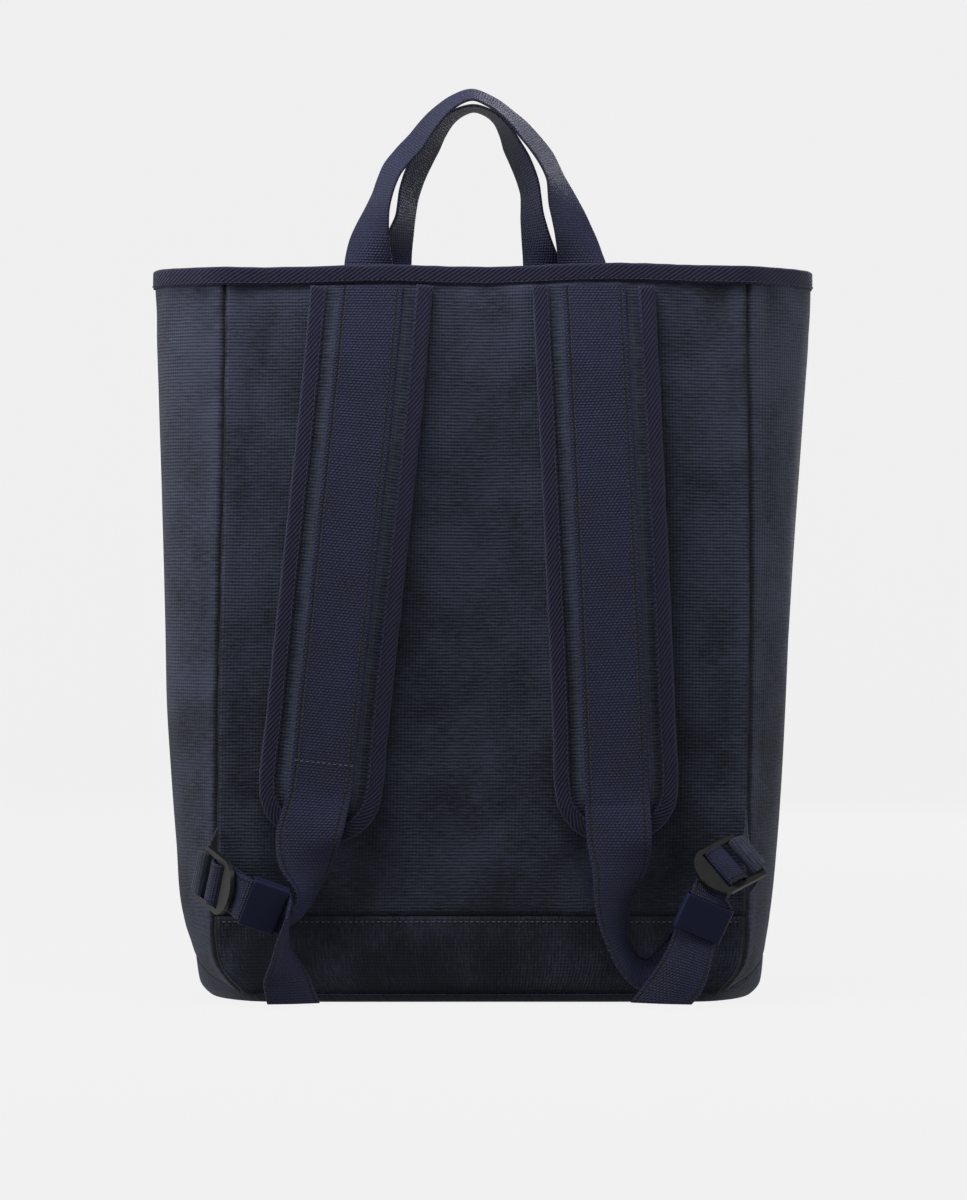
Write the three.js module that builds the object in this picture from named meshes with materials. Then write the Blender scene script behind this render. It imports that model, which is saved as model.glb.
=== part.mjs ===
// Canvas backpack: an open tote-shaped bag with two webbing handles and two padded shoulder straps.
// Millimetres, +Z up. The harness side of the bag faces -Y, and the bag stands on z = 0.
import * as THREE from "three";

// Bag
const rimHeight = 443; // floor to the top of the rim binding
const panelWidth = 320; // between the side seams
const rimWidth = 401; // over the gussets at the rim
const baseWidth = 342; // over the gussets just above the floor
const rimDepth = 118; // back panel to front panel at the rim
const baseDepth = 140; // and at the base
const canvas = 2; // wall of canvas with its turned seams
const bandHeight = 52; // top of the lower band on the back panel
const seamCorner = 24; // radius of the panels' lower corners
const bottomRadius = 9; // roll of the bottom edge
const baseLip = 5.5; // how far the base turns up below the panels
const baseLipSide = 25; // and below the gussets
const gap = 0.3; // between neighbouring pieces

// Tape and webbing
const tape = 1.2; // twill tape
const rimTapeHeight = 11.2; // how far the rim tape reaches down each side
const handleWidth = 30;
const handleSpan = 158; // over the feet of the back handle
const handleRise = 109.5; // rim to the top of the back handle
const backHandleCentre = -4.5; // from the middle of the bag
const frontHandleCentre = -10;
const backHandleLean = 18; // how far its top leans in over the mouth
const frontHandleLean = 26;
const handleSeat = 34; // length of handle sewn inside the rim
const webbing = 1.7; // thickness of all the webbing
const strapWidth = 38;
const tailWidth = 26; // strap webbing folded narrow for the buckle

// Padded straps
const padWidth = 70.5;
const padThickness = 8.4;
const padEdge = 3.6; // where the tape grips it
const padTape = 8.5; // width of tape that shows on the pad
const padFlat = 4; // flat strip beside the tape, where the stitching runs
const padShoulder = 5; // over which the padding rises from it
const padEnd = 99; // height of the pads' lower ends
const padCorner = 30; // rounding of the pad's lower end
const padBow = 10; // how far the pads stand off the back
const layerGap = 0.4; // between webbing and what it lies on

// Buckles, keepers and tabs
const buckleWidth = 34;
const buckleLength = 37;
const buckleThickness = 3;
const buckleBar = 4; // width of the outer bar
const buckleRail = 3.2; // width of the side rails
const buckleCorner = 2; // rounding beside the outer bar
const middleBar = 6; // width of the bar that the webbing passes over
const middleBarStart = 14; // from the middle of the outer bar
const lipLength = 11; // D-shaped lip
const lipHold = 5; // how far the lip's curve keeps near the full width
const keeperLength = 22;
const keeperWall = 1.3;
const tabHeight = 54; // tab along the seam
const standOff = 24; // how far the lower webbing stands off the back

const colour = {
  canvas: "#343d50", band: "#323a4c", tape: "#2b2e48",
  webbing: "#262d52", keeper: "#252d56", plastic: "#23241f",
};

function finish(hex, roughness, metalness = 0) {
  return new THREE.MeshStandardMaterial({ color: hex, roughness, metalness });
}

// Value of a table's column at a share of its key column, on a smooth curve through the rows
function lookUp(rows, key, column, at) {
  const last = rows.length - 1;
  let i = 0;
  while (i < last - 1 && at > rows[i + 1][key]) i += 1;
  const span = rows[i + 1][key] - rows[i][key];
  const t = THREE.MathUtils.clamp((at - rows[i][key]) / span, 0, 1);
  const slope = (k) => {
    const a = rows[Math.max(k - 1, 0)];
    const b = rows[Math.min(k + 1, last)];
    return (b[column] - a[column]) / (b[key] - a[key]);
  };
  const [h0, h1] = [slope(i) * span, slope(i + 1) * span];
  const [p0, p1] = [rows[i][column], rows[i + 1][column]];
  const t2 = t * t;
  const t3 = t2 * t;
  return p0 * (2 * t3 - 3 * t2 + 1) + h0 * (t3 - 2 * t2 + t) + p1 * (3 * t2 - 2 * t3) + h1 * (t3 - t2);
}

// Shares from 0 to 1 in equal steps
function steps(count) {
  return Array.from({ length: count + 1 }, (_, i) => i / count);
}

// Closed body between two grids of points, front[i][j] and back[i][j]. A grid that closes on
// itself along i or along j has no edge wall there.
function wallBody(front, back, { loopAlong = false, loopAcross = false } = {}) {
  const rows = front.length;
  const columns = front[0].length;
  const positions = [...front.flat(), ...back.flat()].flatMap((p) => [p.x, p.y, p.z]);
  const faces = [];
  const at = (side, i, j) => side * rows * columns + (i % rows) * columns + (j % columns);
  const quad = (a, b, c, d) => faces.push(a, b, c, a, c, d);
  const lastRow = loopAlong ? rows : rows - 1;
  const lastColumn = loopAcross ? columns : columns - 1;
  for (let i = 0; i < lastRow; i += 1) {
    for (let j = 0; j < lastColumn; j += 1) {
      quad(at(0, i, j), at(0, i, j + 1), at(0, i + 1, j + 1), at(0, i + 1, j));
      quad(at(1, i, j), at(1, i + 1, j), at(1, i + 1, j + 1), at(1, i, j + 1));
    }
  }
  for (let j = 0; j < lastColumn && !loopAlong; j += 1) {
    quad(at(0, 0, j), at(1, 0, j), at(1, 0, j + 1), at(0, 0, j + 1));
    quad(at(0, rows - 1, j), at(0, rows - 1, j + 1), at(1, rows - 1, j + 1), at(1, rows - 1, j));
  }
  for (let i = 0; i < lastRow && !loopAcross; i += 1) {
    quad(at(0, i, 0), at(0, i + 1, 0), at(1, i + 1, 0), at(1, i, 0));
    const edge = columns - 1;
    quad(at(0, i, edge), at(1, i, edge), at(1, i + 1, edge), at(0, i + 1, edge));
  }
  return closed(positions, faces);
}

// Geometry from positions and faces, turned outward if its volume comes out negative
function closed(positions, faces) {
  const corner = (k) => new THREE.Vector3().fromArray(positions, faces[k] * 3);
  let volume = 0;
  for (let k = 0; k < faces.length; k += 3) {
    volume += corner(k).dot(corner(k + 1).cross(corner(k + 2)));
  }
  if (volume < 0) faces.reverse();
  const geometry = new THREE.BufferGeometry();
  geometry.setAttribute("position", new THREE.Float32BufferAttribute(positions, 3));
  geometry.setIndex(faces);
  geometry.computeVertexNormals();
  return geometry;
}

const backpack = new THREE.Group();

function add(name, geometry, material) {
  const mesh = new THREE.Mesh(geometry, material);
  mesh.name = name;
  backpack.add(mesh);
  return mesh;
}

// The bag's outline at rows of height. Each row's up is a share of the rim height, depth goes from
// the base depth (0) to the rim depth (1), and spread from the base width (0) to the rim width (1)
// on each side. The seam columns are shares of half the panel width.
const outline = [
  { up: 0, depth: 0, spreadLeft: 0.04, spreadRight: -0.05, seamLeft: 0.9, seamRight: 0.89 },
  { up: 0.03, depth: 0, spreadLeft: 0.12, spreadRight: 0, seamLeft: 0.955, seamRight: 0.94 },
  { up: 0.06, depth: 0.02, spreadLeft: 0.18, spreadRight: 0.04, seamLeft: 1.0, seamRight: 0.982 },
  { up: 0.1, depth: 0.05, spreadLeft: 0.4, spreadRight: 0.15, seamLeft: 1.01, seamRight: 0.988 },
  { up: 0.14, depth: 0.09, spreadLeft: 0.53, spreadRight: 0.22, seamLeft: 1.01, seamRight: 0.99 },
  { up: 0.26, depth: 0.2, spreadLeft: 0.69, spreadRight: 0.39, seamLeft: 1.0, seamRight: 0.996 },
  { up: 0.38, depth: 0.34, spreadLeft: 0.855, spreadRight: 0.54, seamLeft: 0.999, seamRight: 1.003 },
  { up: 0.63, depth: 0.62, spreadLeft: 0.99, spreadRight: 0.79, seamLeft: 0.984, seamRight: 1.007 },
  { up: 0.87, depth: 0.87, spreadLeft: 1.04, spreadRight: 0.99, seamLeft: 0.973, seamRight: 0.999 },
  { up: 1, depth: 1, spreadLeft: 1, spreadRight: 1, seamLeft: 0.969, seamRight: 0.995 },
];

// Soft dents of the cloth. The place is a share of the face's width and of the rim height, the
// sizes are shares of the panel width and rim height, and the depth a share of the base depth.
const dents = [
  { face: 0, across: 0.84, up: 0.9, wide: 0.08, tall: 0.03, deep: 0.02 },
  { face: 0, across: 0.9, up: 0.5, wide: 0.1, tall: 0.2, deep: 0.018 },
  { face: 0, across: 0.5, up: 0.55, wide: 0.16, tall: 0.3, deep: 0.02 },
  { face: 0, across: 0.09, up: 0.62, wide: 0.1, tall: 0.24, deep: 0.018 },
  { face: 1, across: 0.42, up: 0.62, wide: 0.07, tall: 0.3, deep: 0.03 },
  { face: 1, across: 0.75, up: 0.3, wide: 0.08, tall: 0.14, deep: 0.03 },
  { face: 2, across: 0.5, up: 0.6, wide: 0.3, tall: 0.3, deep: 0.04 },
  { face: 2, across: 0.18, up: 0.3, wide: 0.14, tall: 0.2, deep: 0.022 },
  { face: 3, across: 0.55, up: 0.62, wide: 0.07, tall: 0.3, deep: 0.03 },
  { face: 3, across: 0.3, up: 0.25, wide: 0.08, tall: 0.12, deep: 0.03 },
];

// The rim tape holds the cloth straight, so a dent fades out below it
function dentAt(face, across, up) {
  const soften = (d) => Math.exp(-d * d);
  const fade = THREE.MathUtils.smoothstep((1 - up) * rimHeight, rimTapeHeight, 5 * rimTapeHeight);
  return fade * dents
    .filter((dent) => dent.face === face)
    .reduce((sum, dent) => {
      const faceWidth = face % 2 ? rimDepth : panelWidth;
      const inAcross = soften(((across - dent.across) * faceWidth) / (dent.wide * panelWidth));
      return sum + dent.deep * baseDepth * inAcross * soften((up - dent.up) / dent.tall);
    }, 0);
}

function depthAt(z) {
  return THREE.MathUtils.lerp(baseDepth, rimDepth, lookUp(outline, "up", "depth", z / rimHeight));
}

function seamAt(side, z) {
  const column = side < 0 ? "seamLeft" : "seamRight";
  const inset = Math.max(0, seamCorner - z);
  const corner = seamCorner - Math.sqrt(seamCorner ** 2 - inset ** 2);
  return (lookUp(outline, "up", column, z / rimHeight) * panelWidth) / 2 - corner * 0.4;
}

function spreadAt(side, z) {
  const column = side < 0 ? "spreadLeft" : "spreadRight";
  return THREE.MathUtils.lerp(baseWidth, rimWidth, lookUp(outline, "up", column, z / rimHeight)) / 2;
}

// Point on the outside of the bag. round runs from 0 to 4: back panel, right gusset, front panel and
// left gusset, each over a length of 1.
function bagPoint(round, z) {
  const turn = ((round % 4) + 4) % 4;
  const face = Math.floor(turn);
  const across = turn - face;
  const half = depthAt(z) / 2;
  const dent = dentAt(face, across, z / rimHeight) * 4 * across * (1 - across);
  const lift = Math.max(0, bottomRadius - z);
  const roll = bottomRadius - Math.sqrt(bottomRadius ** 2 - lift ** 2);
  if (face % 2 === 0) {
    const way = face === 0 ? 1 : -1;
    const from = -way * seamAt(-way, z);
    const to = way * seamAt(way, z);
    return new THREE.Vector3(THREE.MathUtils.lerp(from, to, across), -way * (half - dent - roll), z);
  }
  const side = face === 1 ? 1 : -1;
  const along = 2 * across - 1;
  const seam = seamAt(side, z);
  const bulge = spreadAt(side, z) - seam - dent - roll;
  const x = seam + bulge * (1 - Math.abs(along) ** 2.3);
  return new THREE.Vector3(side * x, side * along * (half - roll * Math.abs(along)), z);
}

// The same point moved inward by a depth, square to the outline
function bagInside(round, z, depth) {
  const nudge = 0.004;
  const ahead = bagPoint(round + nudge, z).sub(bagPoint(round - nudge, z)).normalize();
  return bagPoint(round, z).add(new THREE.Vector3(-ahead.y, ahead.x, 0).multiplyScalar(depth));
}

// Height of the base's turned-up edge round the bag
function lipAt(round) {
  const turn = ((round % 2) + 2) % 2;
  if (turn < 1) return baseLip;
  return baseLip + (baseLipSide - baseLip) * Math.min(1, 3 * (turn - 1) * (2 - turn) * 1.4);
}

// Point of a cloth panel. At its two side edges it keeps half a gap to the seam line, whose inner
// side lies on the line that halves the corner, so that the neighbouring walls meet in a mitre.
function clothPoint(round, edge, z, depth) {
  if (edge === 0) return bagInside(round, z, depth);
  const seamPoint = bagInside(round, z, depth);
  const away = bagPoint(round + edge * 0.05, z).sub(bagPoint(round, z)).normalize();
  return seamPoint.addScaledVector(away, gap * 0.6);
}

// A cloth panel over part of the round, with a row of points at each of its heights
function clothPanel(from, to, columns, heights) {
  const grid = (depth) => heights(from).map((_, i) => steps(columns).map((s, j) => {
    const round = THREE.MathUtils.lerp(from, to, s);
    const edge = j === 0 ? 1 : j === columns ? -1 : 0;
    return clothPoint(round, edge, heights(round)[i], depth);
  }));
  return wallBody(grid(0), grid(canvas));
}

const rimWave = [
  { across: -1, rise: 0 }, { across: -0.62, rise: -0.15 }, { across: -0.3, rise: 0.1 },
  { across: 0, rise: -0.12 }, { across: 0.38, rise: 0.25 }, { across: 0.7, rise: 0 },
  { across: 1, rise: -0.1 },
];

// Top of the rim binding round the bag: the cloth is drawn up a little at the handles
function rimAt(round) {
  const x = bagPoint(round, rimHeight).x / (rimWidth / 2);
  return rimHeight + lookUp(rimWave, "across", "rise", x) * rimTapeHeight * 0.6;
}

// Columns of points over each face, the same ones in every piece that follows the round
const faceColumns = [12, 8, 10, 8];
const wholeRound = faceColumns.flatMap((count, face) => steps(count).slice(0, -1).map((t) => face + t));

// Heights of the rows below and above the band's seam, the same ones on each side of a side seam
const { lerp } = THREE.MathUtils;
const lowerRows = (round) => steps(3).map((t) => lerp(lipAt(round) + 2 * gap, bandHeight, t));
const upperRows = (round) => [
  ...steps(9).map((t) => lerp(bandHeight + gap, rimAt(round) - rimTapeHeight, t)),
  rimAt(round) - tape - gap,
];
const allRows = (round) => [...lowerRows(round), ...upperRows(round).slice(1)];

const canvasFinish = finish(colour.canvas, 0.95);
add("back_panel", clothPanel(0, 1, faceColumns[0], upperRows), canvasFinish);
add("back_lower_band", clothPanel(0, 1, faceColumns[0], lowerRows), finish(colour.band, 0.95));
add("front_panel", clothPanel(2, 3, faceColumns[2], allRows), canvasFinish.clone());
add("gusset_right", clothPanel(1, 2, faceColumns[1], allRows), canvasFinish.clone());
add("gusset_left", clothPanel(3, 4, faceColumns[3], allRows), canvasFinish.clone());

// Base: a shallow tray that turns up all round, flat underneath
function baseGeometry() {
  const outside = [1, 0.7, 0.45, 0.25].map((t) => (round) => bagPoint(round, t * lipAt(round)));
  const roll = [0.06, 0].map((t) => (round) => bagPoint(round, t * bottomRadius));
  const inside = [
    (round) => bagInside(round, canvas, canvas * 1.8),
    (round) => bagInside(round, 0.75 * lipAt(round), canvas),
    (round) => bagInside(round, lipAt(round), canvas),
  ];
  const rings = [...inside, ...outside, ...roll].map((ring) => wholeRound.map(ring));
  const count = wholeRound.length;
  const positions = rings.flat().flatMap((p) => [p.x, p.y, p.z]);
  positions.push(0, 0, canvas, 0, 0, 0);
  const faces = [];
  rings.slice(1).forEach((_, i) => {
    for (let j = 0; j < count; j += 1) {
      const [a, b] = [i * count + j, i * count + ((j + 1) % count)];
      faces.push(a, b, b + count, a, b + count, a + count);
    }
  });
  const [insideCentre, outsideCentre] = [rings.length * count, rings.length * count + 1];
  for (let j = 0; j < count; j += 1) {
    const next = (j + 1) % count;
    faces.push(insideCentre, next, j);
    faces.push(outsideCentre, (rings.length - 1) * count + j, (rings.length - 1) * count + next);
  }
  return closed(positions, faces);
}

add("base_panel", baseGeometry(), canvasFinish.clone());

// Rim binding: tape folded over the top of the cloth. A place on its section is a depth into the
// wall and a drop from the top.
function rimGeometry() {
  const out = gap + tape;
  const foot = rimTapeHeight;
  const skin = [[-out, foot], [-out, 0.7 * tape], [0.7 * tape - out, 0], [canvas + out - 0.7 * tape, 0],
    [canvas + out, 0.7 * tape], [canvas + out, foot]];
  const lining = [[-gap, foot], [-gap, tape + gap], [0, tape], [canvas, tape], [canvas + gap, tape + gap],
    [canvas + gap, foot]];
  const grid = (section) => wholeRound.map((round) =>
    section.map(([depth, drop]) => {
      const p = bagInside(round, rimHeight - foot, depth);
      return bagInside(round, rimHeight, depth).lerp(p, drop / foot).setZ(rimAt(round) - drop);
    }));
  return wallBody(grid(skin), grid(lining), { loopAlong: true });
}

add("rim_binding", rimGeometry(), finish(colour.tape, 0.85));

// Flat webbing along a row of stations, each with its two edges, a and b, and a curl that raises
// the edges into a channel. The first plain stations get one row of points each, the rest more.
function ribbon(stations, { thickness = webbing, density = 2, plain = 0, across = 4 } = {}) {
  const rails = ["a", "b"].map((edge) => new THREE.CatmullRomCurve3(stations.map((s) => s[edge])));
  const last = stations.length - 1;
  const fine = steps((last - plain) * density).map((t) => plain + t * (last - plain));
  const places = [...Array(plain).keys(), ...fine];
  const grid = (side) => places.map((place) => {
    const t = place / last;
    const at = Math.min(place, last - 0.001);
    const [here, next] = [stations[Math.floor(at)], stations[Math.floor(at) + 1]];
    const curl = THREE.MathUtils.lerp(here.curl ?? 0, next.curl ?? 0, at - Math.floor(at));
    const [a, b] = rails.map((rail) => rail.getPoint(t));
    const heading = rails[0].getTangent(t).add(rails[1].getTangent(t));
    const normal = b.clone().sub(a).cross(heading).normalize();
    return steps(across).map((s) => {
      const lift = curl * Math.abs(2 * s - 1) ** 1.5 + (side * thickness) / 2;
      return a.clone().lerp(b, s).addScaledVector(normal, lift);
    });
  });
  return wallBody(grid(1), grid(-1));
}

// Carry handles. Each row is a place along the arch: the outer and inner edge's x is a share of half
// the handle's span, and their heights are shares of the handle's rise. The webbing twists out of the
// picture wherever its edges lie nearer than its width.
const backArch = [
  { outX: -1, outUp: 0, inX: -0.63, inUp: 0 }, { outX: -0.957, outUp: 0.157, inX: -0.655, inUp: 0.145 },
  { outX: -0.857, outUp: 0.308, inX: -0.656, inUp: 0.297 }, { outX: -0.783, outUp: 0.419, inX: -0.628, inUp: 0.39 },
  { outX: -0.705, outUp: 0.57, inX: -0.566, inUp: 0.506 }, { outX: -0.512, outUp: 0.736, inX: -0.395, inUp: 0.651 },
  { outX: -0.326, outUp: 0.887, inX: -0.233, inUp: 0.82 }, { outX: -0.031, outUp: 1, inX: -0.025, inUp: 0.916 },
  { outX: 0.305, outUp: 0.866, inX: 0.217, inUp: 0.814 }, { outX: 0.45, outUp: 0.767, inX: 0.349, inUp: 0.703 },
  { outX: 0.592, outUp: 0.64, inX: 0.473, inUp: 0.581 }, { outX: 0.682, outUp: 0.506, inX: 0.546, inUp: 0.471 },
  { outX: 0.806, outUp: 0.349, inX: 0.56, inUp: 0.337 }, { outX: 0.915, outUp: 0.18, inX: 0.605, inUp: 0.18 },
  { outX: 1, outUp: 0, inX: 0.63, inUp: 0 },
];
const frontArch = [
  { outX: -0.785, outUp: 0, inX: -0.44, inUp: 0 }, { outX: -0.65, outUp: 0.207, inX: -0.43, inUp: 0.207 },
  { outX: -0.555, outUp: 0.344, inX: -0.41, inUp: 0.344 }, { outX: -0.53, outUp: 0.475, inX: -0.385, inUp: 0.446 },
  { outX: -0.465, outUp: 0.617, inX: -0.325, inUp: 0.57 }, { outX: -0.34, outUp: 0.76, inX: -0.22, inUp: 0.722 },
  { outX: -0.18, outUp: 0.89, inX: -0.11, inUp: 0.87 }, { outX: 0.06, outUp: 0.949, inX: 0.06, inUp: 0.939 },
  { outX: 0.275, outUp: 0.883, inX: 0.22, inUp: 0.872 }, { outX: 0.42, outUp: 0.754, inX: 0.295, inUp: 0.722 },
  { outX: 0.51, outUp: 0.64, inX: 0.373, inUp: 0.589 }, { outX: 0.57, outUp: 0.513, inX: 0.427, inUp: 0.475 },
  { outX: 0.6, outUp: 0.366, inX: 0.427, inUp: 0.344 }, { outX: 0.677, outUp: 0.19, inX: 0.439, inUp: 0.19 },
  { outX: 0.795, outUp: 0, inX: 0.449, inUp: 0 },
];

// Side is -1 for the back handle and 1 for the front one. The arch leans in over the bag's mouth.
function handleGeometry(arch, side, centre, lean) {
  const seat = rimDepth / 2 - canvas - 2 * gap - tape - webbing / 2;
  const place = (x, up, y) =>
    new THREE.Vector3(centre + (x * handleSpan) / 2, y, rimHeight + up * handleRise);
  const stations = arch.map((row) => {
    const up = (row.outUp + row.inUp) / 2;
    const middle = side * (seat - lean * up ** 1.4);
    const [outer, inner] = [place(row.outX, row.outUp, 0), place(row.inX, row.inUp, 0)];
    const hidden = Math.sqrt(Math.max(0, handleWidth ** 2 - outer.distanceTo(inner) ** 2));
    const twist = (side * hidden * THREE.MathUtils.smoothstep(up, 0, 0.2)) / 2;
    return { a: outer.setY(middle - twist), b: inner.setY(middle + twist) };
  });
  const sewn = (station) => [0.06, 0.4, 1].map((t) => {
    const drop = new THREE.Vector3(0, 0, -t * handleSeat);
    return { a: station.a.clone().add(drop), b: station.b.clone().add(drop) };
  });
  return ribbon([...sewn(stations[0]).reverse(), ...stations, ...sewn(stations.at(-1))]);
}

const webbingFinish = finish(colour.webbing, 0.7);
add("handle_back", handleGeometry(backArch, -1, backHandleCentre, backHandleLean), webbingFinish.clone());
add("handle_front", handleGeometry(frontArch, 1, frontHandleCentre, frontHandleLean), webbingFinish.clone());

// Padded strap. Down is the share of its length from the rim, across the share of half the panel
// width, and out the share of the bow off the back panel.
const padRoute = [
  { down: 0, left: -0.416, right: 0.416, out: 0 }, { down: 0.2, left: -0.452, right: 0.436, out: 0.5 },
  { down: 0.46, left: -0.508, right: 0.461, out: 1 }, { down: 0.75, left: -0.572, right: 0.487, out: 0.95 },
  { down: 1, left: -0.625, right: 0.506, out: 0.8 },
];
const padTop = rimHeight - rimTapeHeight - tape - gap; // just below the rim tape

// Centre and directions of a padded strap at a share of its length. Its top is cut level with the
// rim, and it comes square to its own length further down.
function padFrame(side, down) {
  const centre = (d) => {
    const z = THREE.MathUtils.lerp(padTop, padEnd, d);
    const x = (lookUp(padRoute, "down", side < 0 ? "left" : "right", d) * panelWidth) / 2;
    const out = padEdge / 2 + tape + 3 * gap + lookUp(padRoute, "down", "out", d) * padBow;
    return new THREE.Vector3(x, -depthAt(z) / 2 - out, z);
  };
  const along = centre(Math.min(down + 0.01, 1)).sub(centre(Math.min(down + 0.01, 1) - 0.01)).normalize();
  const square = THREE.MathUtils.smoothstep(down, 0, 0.3);
  const across = new THREE.Vector3(1, 0, 0).addScaledVector(along, -square * along.x).normalize();
  const out = along.clone().cross(across).normalize();
  return { centre: centre(down), across, out: out.y < 0 ? out : out.negate() };
}

// How much of the padding there is at a share of the length: it is pressed flat under the rim tape
function padFill(down) {
  return THREE.MathUtils.smoothstep(down, 0, 0.07);
}

const padLength = padTop - padEnd;
const padBack = 0.3; // share of the crown that is on the side towards the bag

// Distance from the pad's outline, at x from its middle and a distance from its lower end
function padDistance(x, end) {
  const core = padWidth / 2 - padCorner;
  const deep = padCorner - end;
  if (deep > 0 && Math.abs(x) > core) return padCorner - Math.hypot(Math.abs(x) - core, deep);
  return Math.min(padWidth / 2 - Math.abs(x), end);
}

function padHalf(end) {
  const deep = Math.max(0, padCorner - end);
  return padWidth / 2 - padCorner + Math.sqrt(Math.max(0, padCorner ** 2 - deep ** 2));
}

// Ends of the rows of points, as distances from the lower end: close together round the corners
const padEnds = [
  ...steps(9).slice(0, -1).map((t) => padCorner + (1 - t) * (padLength - padCorner)),
  ...steps(6).map((t) => padCorner * (1 - Math.sin((t * Math.PI) / 2))),
];

function padGeometry(side) {
  const columns = [-1, -0.8, -0.72, -0.5, 0, 0.5, 0.72, 0.8, 1];
  const grid = (face) => padEnds.map((end) => {
    const down = 1 - end / padLength;
    const { centre, across, out } = padFrame(side, down);
    return columns.map((column) => {
      const x = column * padHalf(end);
      const foot = padTape + padFlat;
      const rise = THREE.MathUtils.smoothstep(padDistance(x, end), foot, foot + padShoulder) * padFill(down);
      const crown = (padThickness - padEdge) * rise * (face > 0 ? 1 - padBack : padBack);
      return centre.clone().addScaledVector(across, x).addScaledVector(out, face * (padEdge / 2 + crown));
    });
  });
  return wallBody(grid(1), grid(-1));
}

// Tape folded round the pad's two sides and its lower end
function padBindingGeometry(side) {
  const core = padWidth / 2 - padCorner;
  const straight = padEnds.filter((end) => end >= padCorner - 1e-6);
  const arc = steps(6).slice(1).map((t) => (t * Math.PI) / 2);
  const half = [
    ...straight.map((end) => ({ x: padWidth / 2, end, nx: 1, ny: 0 })),
    ...arc.map((angle) => ({
      x: core + padCorner * Math.cos(angle), end: padCorner * (1 - Math.sin(angle)),
      nx: Math.cos(angle), ny: Math.sin(angle),
    })),
  ];
  const path = [...half, ...half.slice().reverse().map((p) => ({ ...p, x: -p.x, nx: -p.nx }))];
  const low = padEdge / 2 + 1.5 * gap;
  const high = low + tape;
  const clear = 2 * gap;
  const skin = [[-padTape, high], [gap, high], [clear + tape, 0.5 * high], [clear + tape, -0.5 * high],
    [gap, -high], [-padTape, -high]];
  const lining = [[-padTape, low], [gap, low], [clear, 0.6 * low], [clear, -0.6 * low], [gap, -low],
    [-padTape, -low]];
  const grid = (section) => path.map(({ x, end, nx, ny }) => section.map(([outward, height]) => {
    const { centre, across, out } = padFrame(side, 1 - end / padLength);
    const along = out.clone().cross(across).normalize();
    const down = along.z < 0 ? along : along.negate();
    return centre.clone().addScaledVector(across, x + nx * outward)
      .addScaledVector(down, ny * outward).addScaledVector(out, height);
  }));
  return wallBody(grid(skin), grid(lining));
}

[[-1, "left"], [1, "right"]].forEach(([side, name]) => {
  add(`strap_pad_${name}`, padGeometry(side), canvasFinish.clone());
  add(`pad_binding_${name}`, padBindingGeometry(side), finish(colour.tape, 0.85));
});

// Buckles. Each hangs on its side tab, the face with the lip turned outward and the webbing running
// away from the bag's side. Along points from the outer bar to the lip, and face out of the buckle.
// Skew is how far the webbing is pulled aside at the lip, as a share of the buckle's width, and reach
// the share of its length at which the webbing leaves it.
const buckles = {
  left: {
    side: -1, across: -1.04, up: 0.178, out: 0.48, along: [0.5, -0.8, -0.33],
    face: [-0.84, -0.54, 0.035], skew: 0, reach: 1,
  },
  right: {
    side: 1, across: 0.985, up: 0.201, out: 0.68, along: [-0.805, -0.447, -0.385],
    face: [0.132, -0.771, 0.62], skew: 0.25, reach: 0.8,
  },
};

// Place on the harness side: across is a share of half the panel width, up of the rim height, and
// out of the standOff from the back panel
function harnessPoint({ across, up, out }) {
  const z = up * rimHeight;
  return new THREE.Vector3((across * panelWidth) / 2, -depthAt(z) / 2 - out * standOff, z);
}

// A frame of three directions square to each other, the second one running along the bars
function frameOf(origin, along, face) {
  const u = new THREE.Vector3(...along).normalize();
  const n = new THREE.Vector3(...face).addScaledVector(u, -u.dot(new THREE.Vector3(...face))).normalize();
  const v = n.clone().cross(u);
  const at = (x, y, z) => origin.clone().addScaledVector(u, x).addScaledVector(v, y).addScaledVector(n, z);
  return { u, v, n, at, basis: new THREE.Matrix4().makeBasis(u, v, n).setPosition(origin) };
}

const lipStart = buckleLength - buckleBar / 2 - lipLength; // from the middle of the outer bar

function buckleGeometry() {
  const half = buckleWidth / 2;
  const inner = half - buckleRail;
  const near = -buckleBar / 2;
  const tip = lipStart + lipLength;
  const held = lipStart + lipHold;
  const shoulder = half - lipHold / 5;
  const outlineShape = new THREE.Shape();
  outlineShape.moveTo(near, -half + buckleCorner);
  outlineShape.quadraticCurveTo(near, -half, near + buckleCorner, -half);
  outlineShape.lineTo(lipStart, -half);
  outlineShape.bezierCurveTo(held, -shoulder, tip, -inner * 0.7, tip, 0);
  outlineShape.bezierCurveTo(tip, inner * 0.7, held, shoulder, lipStart, half);
  outlineShape.lineTo(near + buckleCorner, half);
  outlineShape.quadraticCurveTo(near, half, near, half - buckleCorner);
  const windows = [
    { from: buckleBar / 2, to: middleBarStart, side: inner },
    { from: middleBarStart + middleBar, to: lipStart, side: inner - gap },
  ];
  windows.forEach(({ from, to, side }) => {
    const window = new THREE.Path();
    window.moveTo(from, -side);
    window.lineTo(from, side);
    window.lineTo(to, side);
    window.lineTo(to, -side);
    outlineShape.holes.push(window);
  });
  const geometry = new THREE.ExtrudeGeometry(outlineShape, {
    depth: buckleThickness, bevelEnabled: false, curveSegments: 5,
  });
  return geometry.translate(0, 0, -buckleThickness / 2);
}

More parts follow.
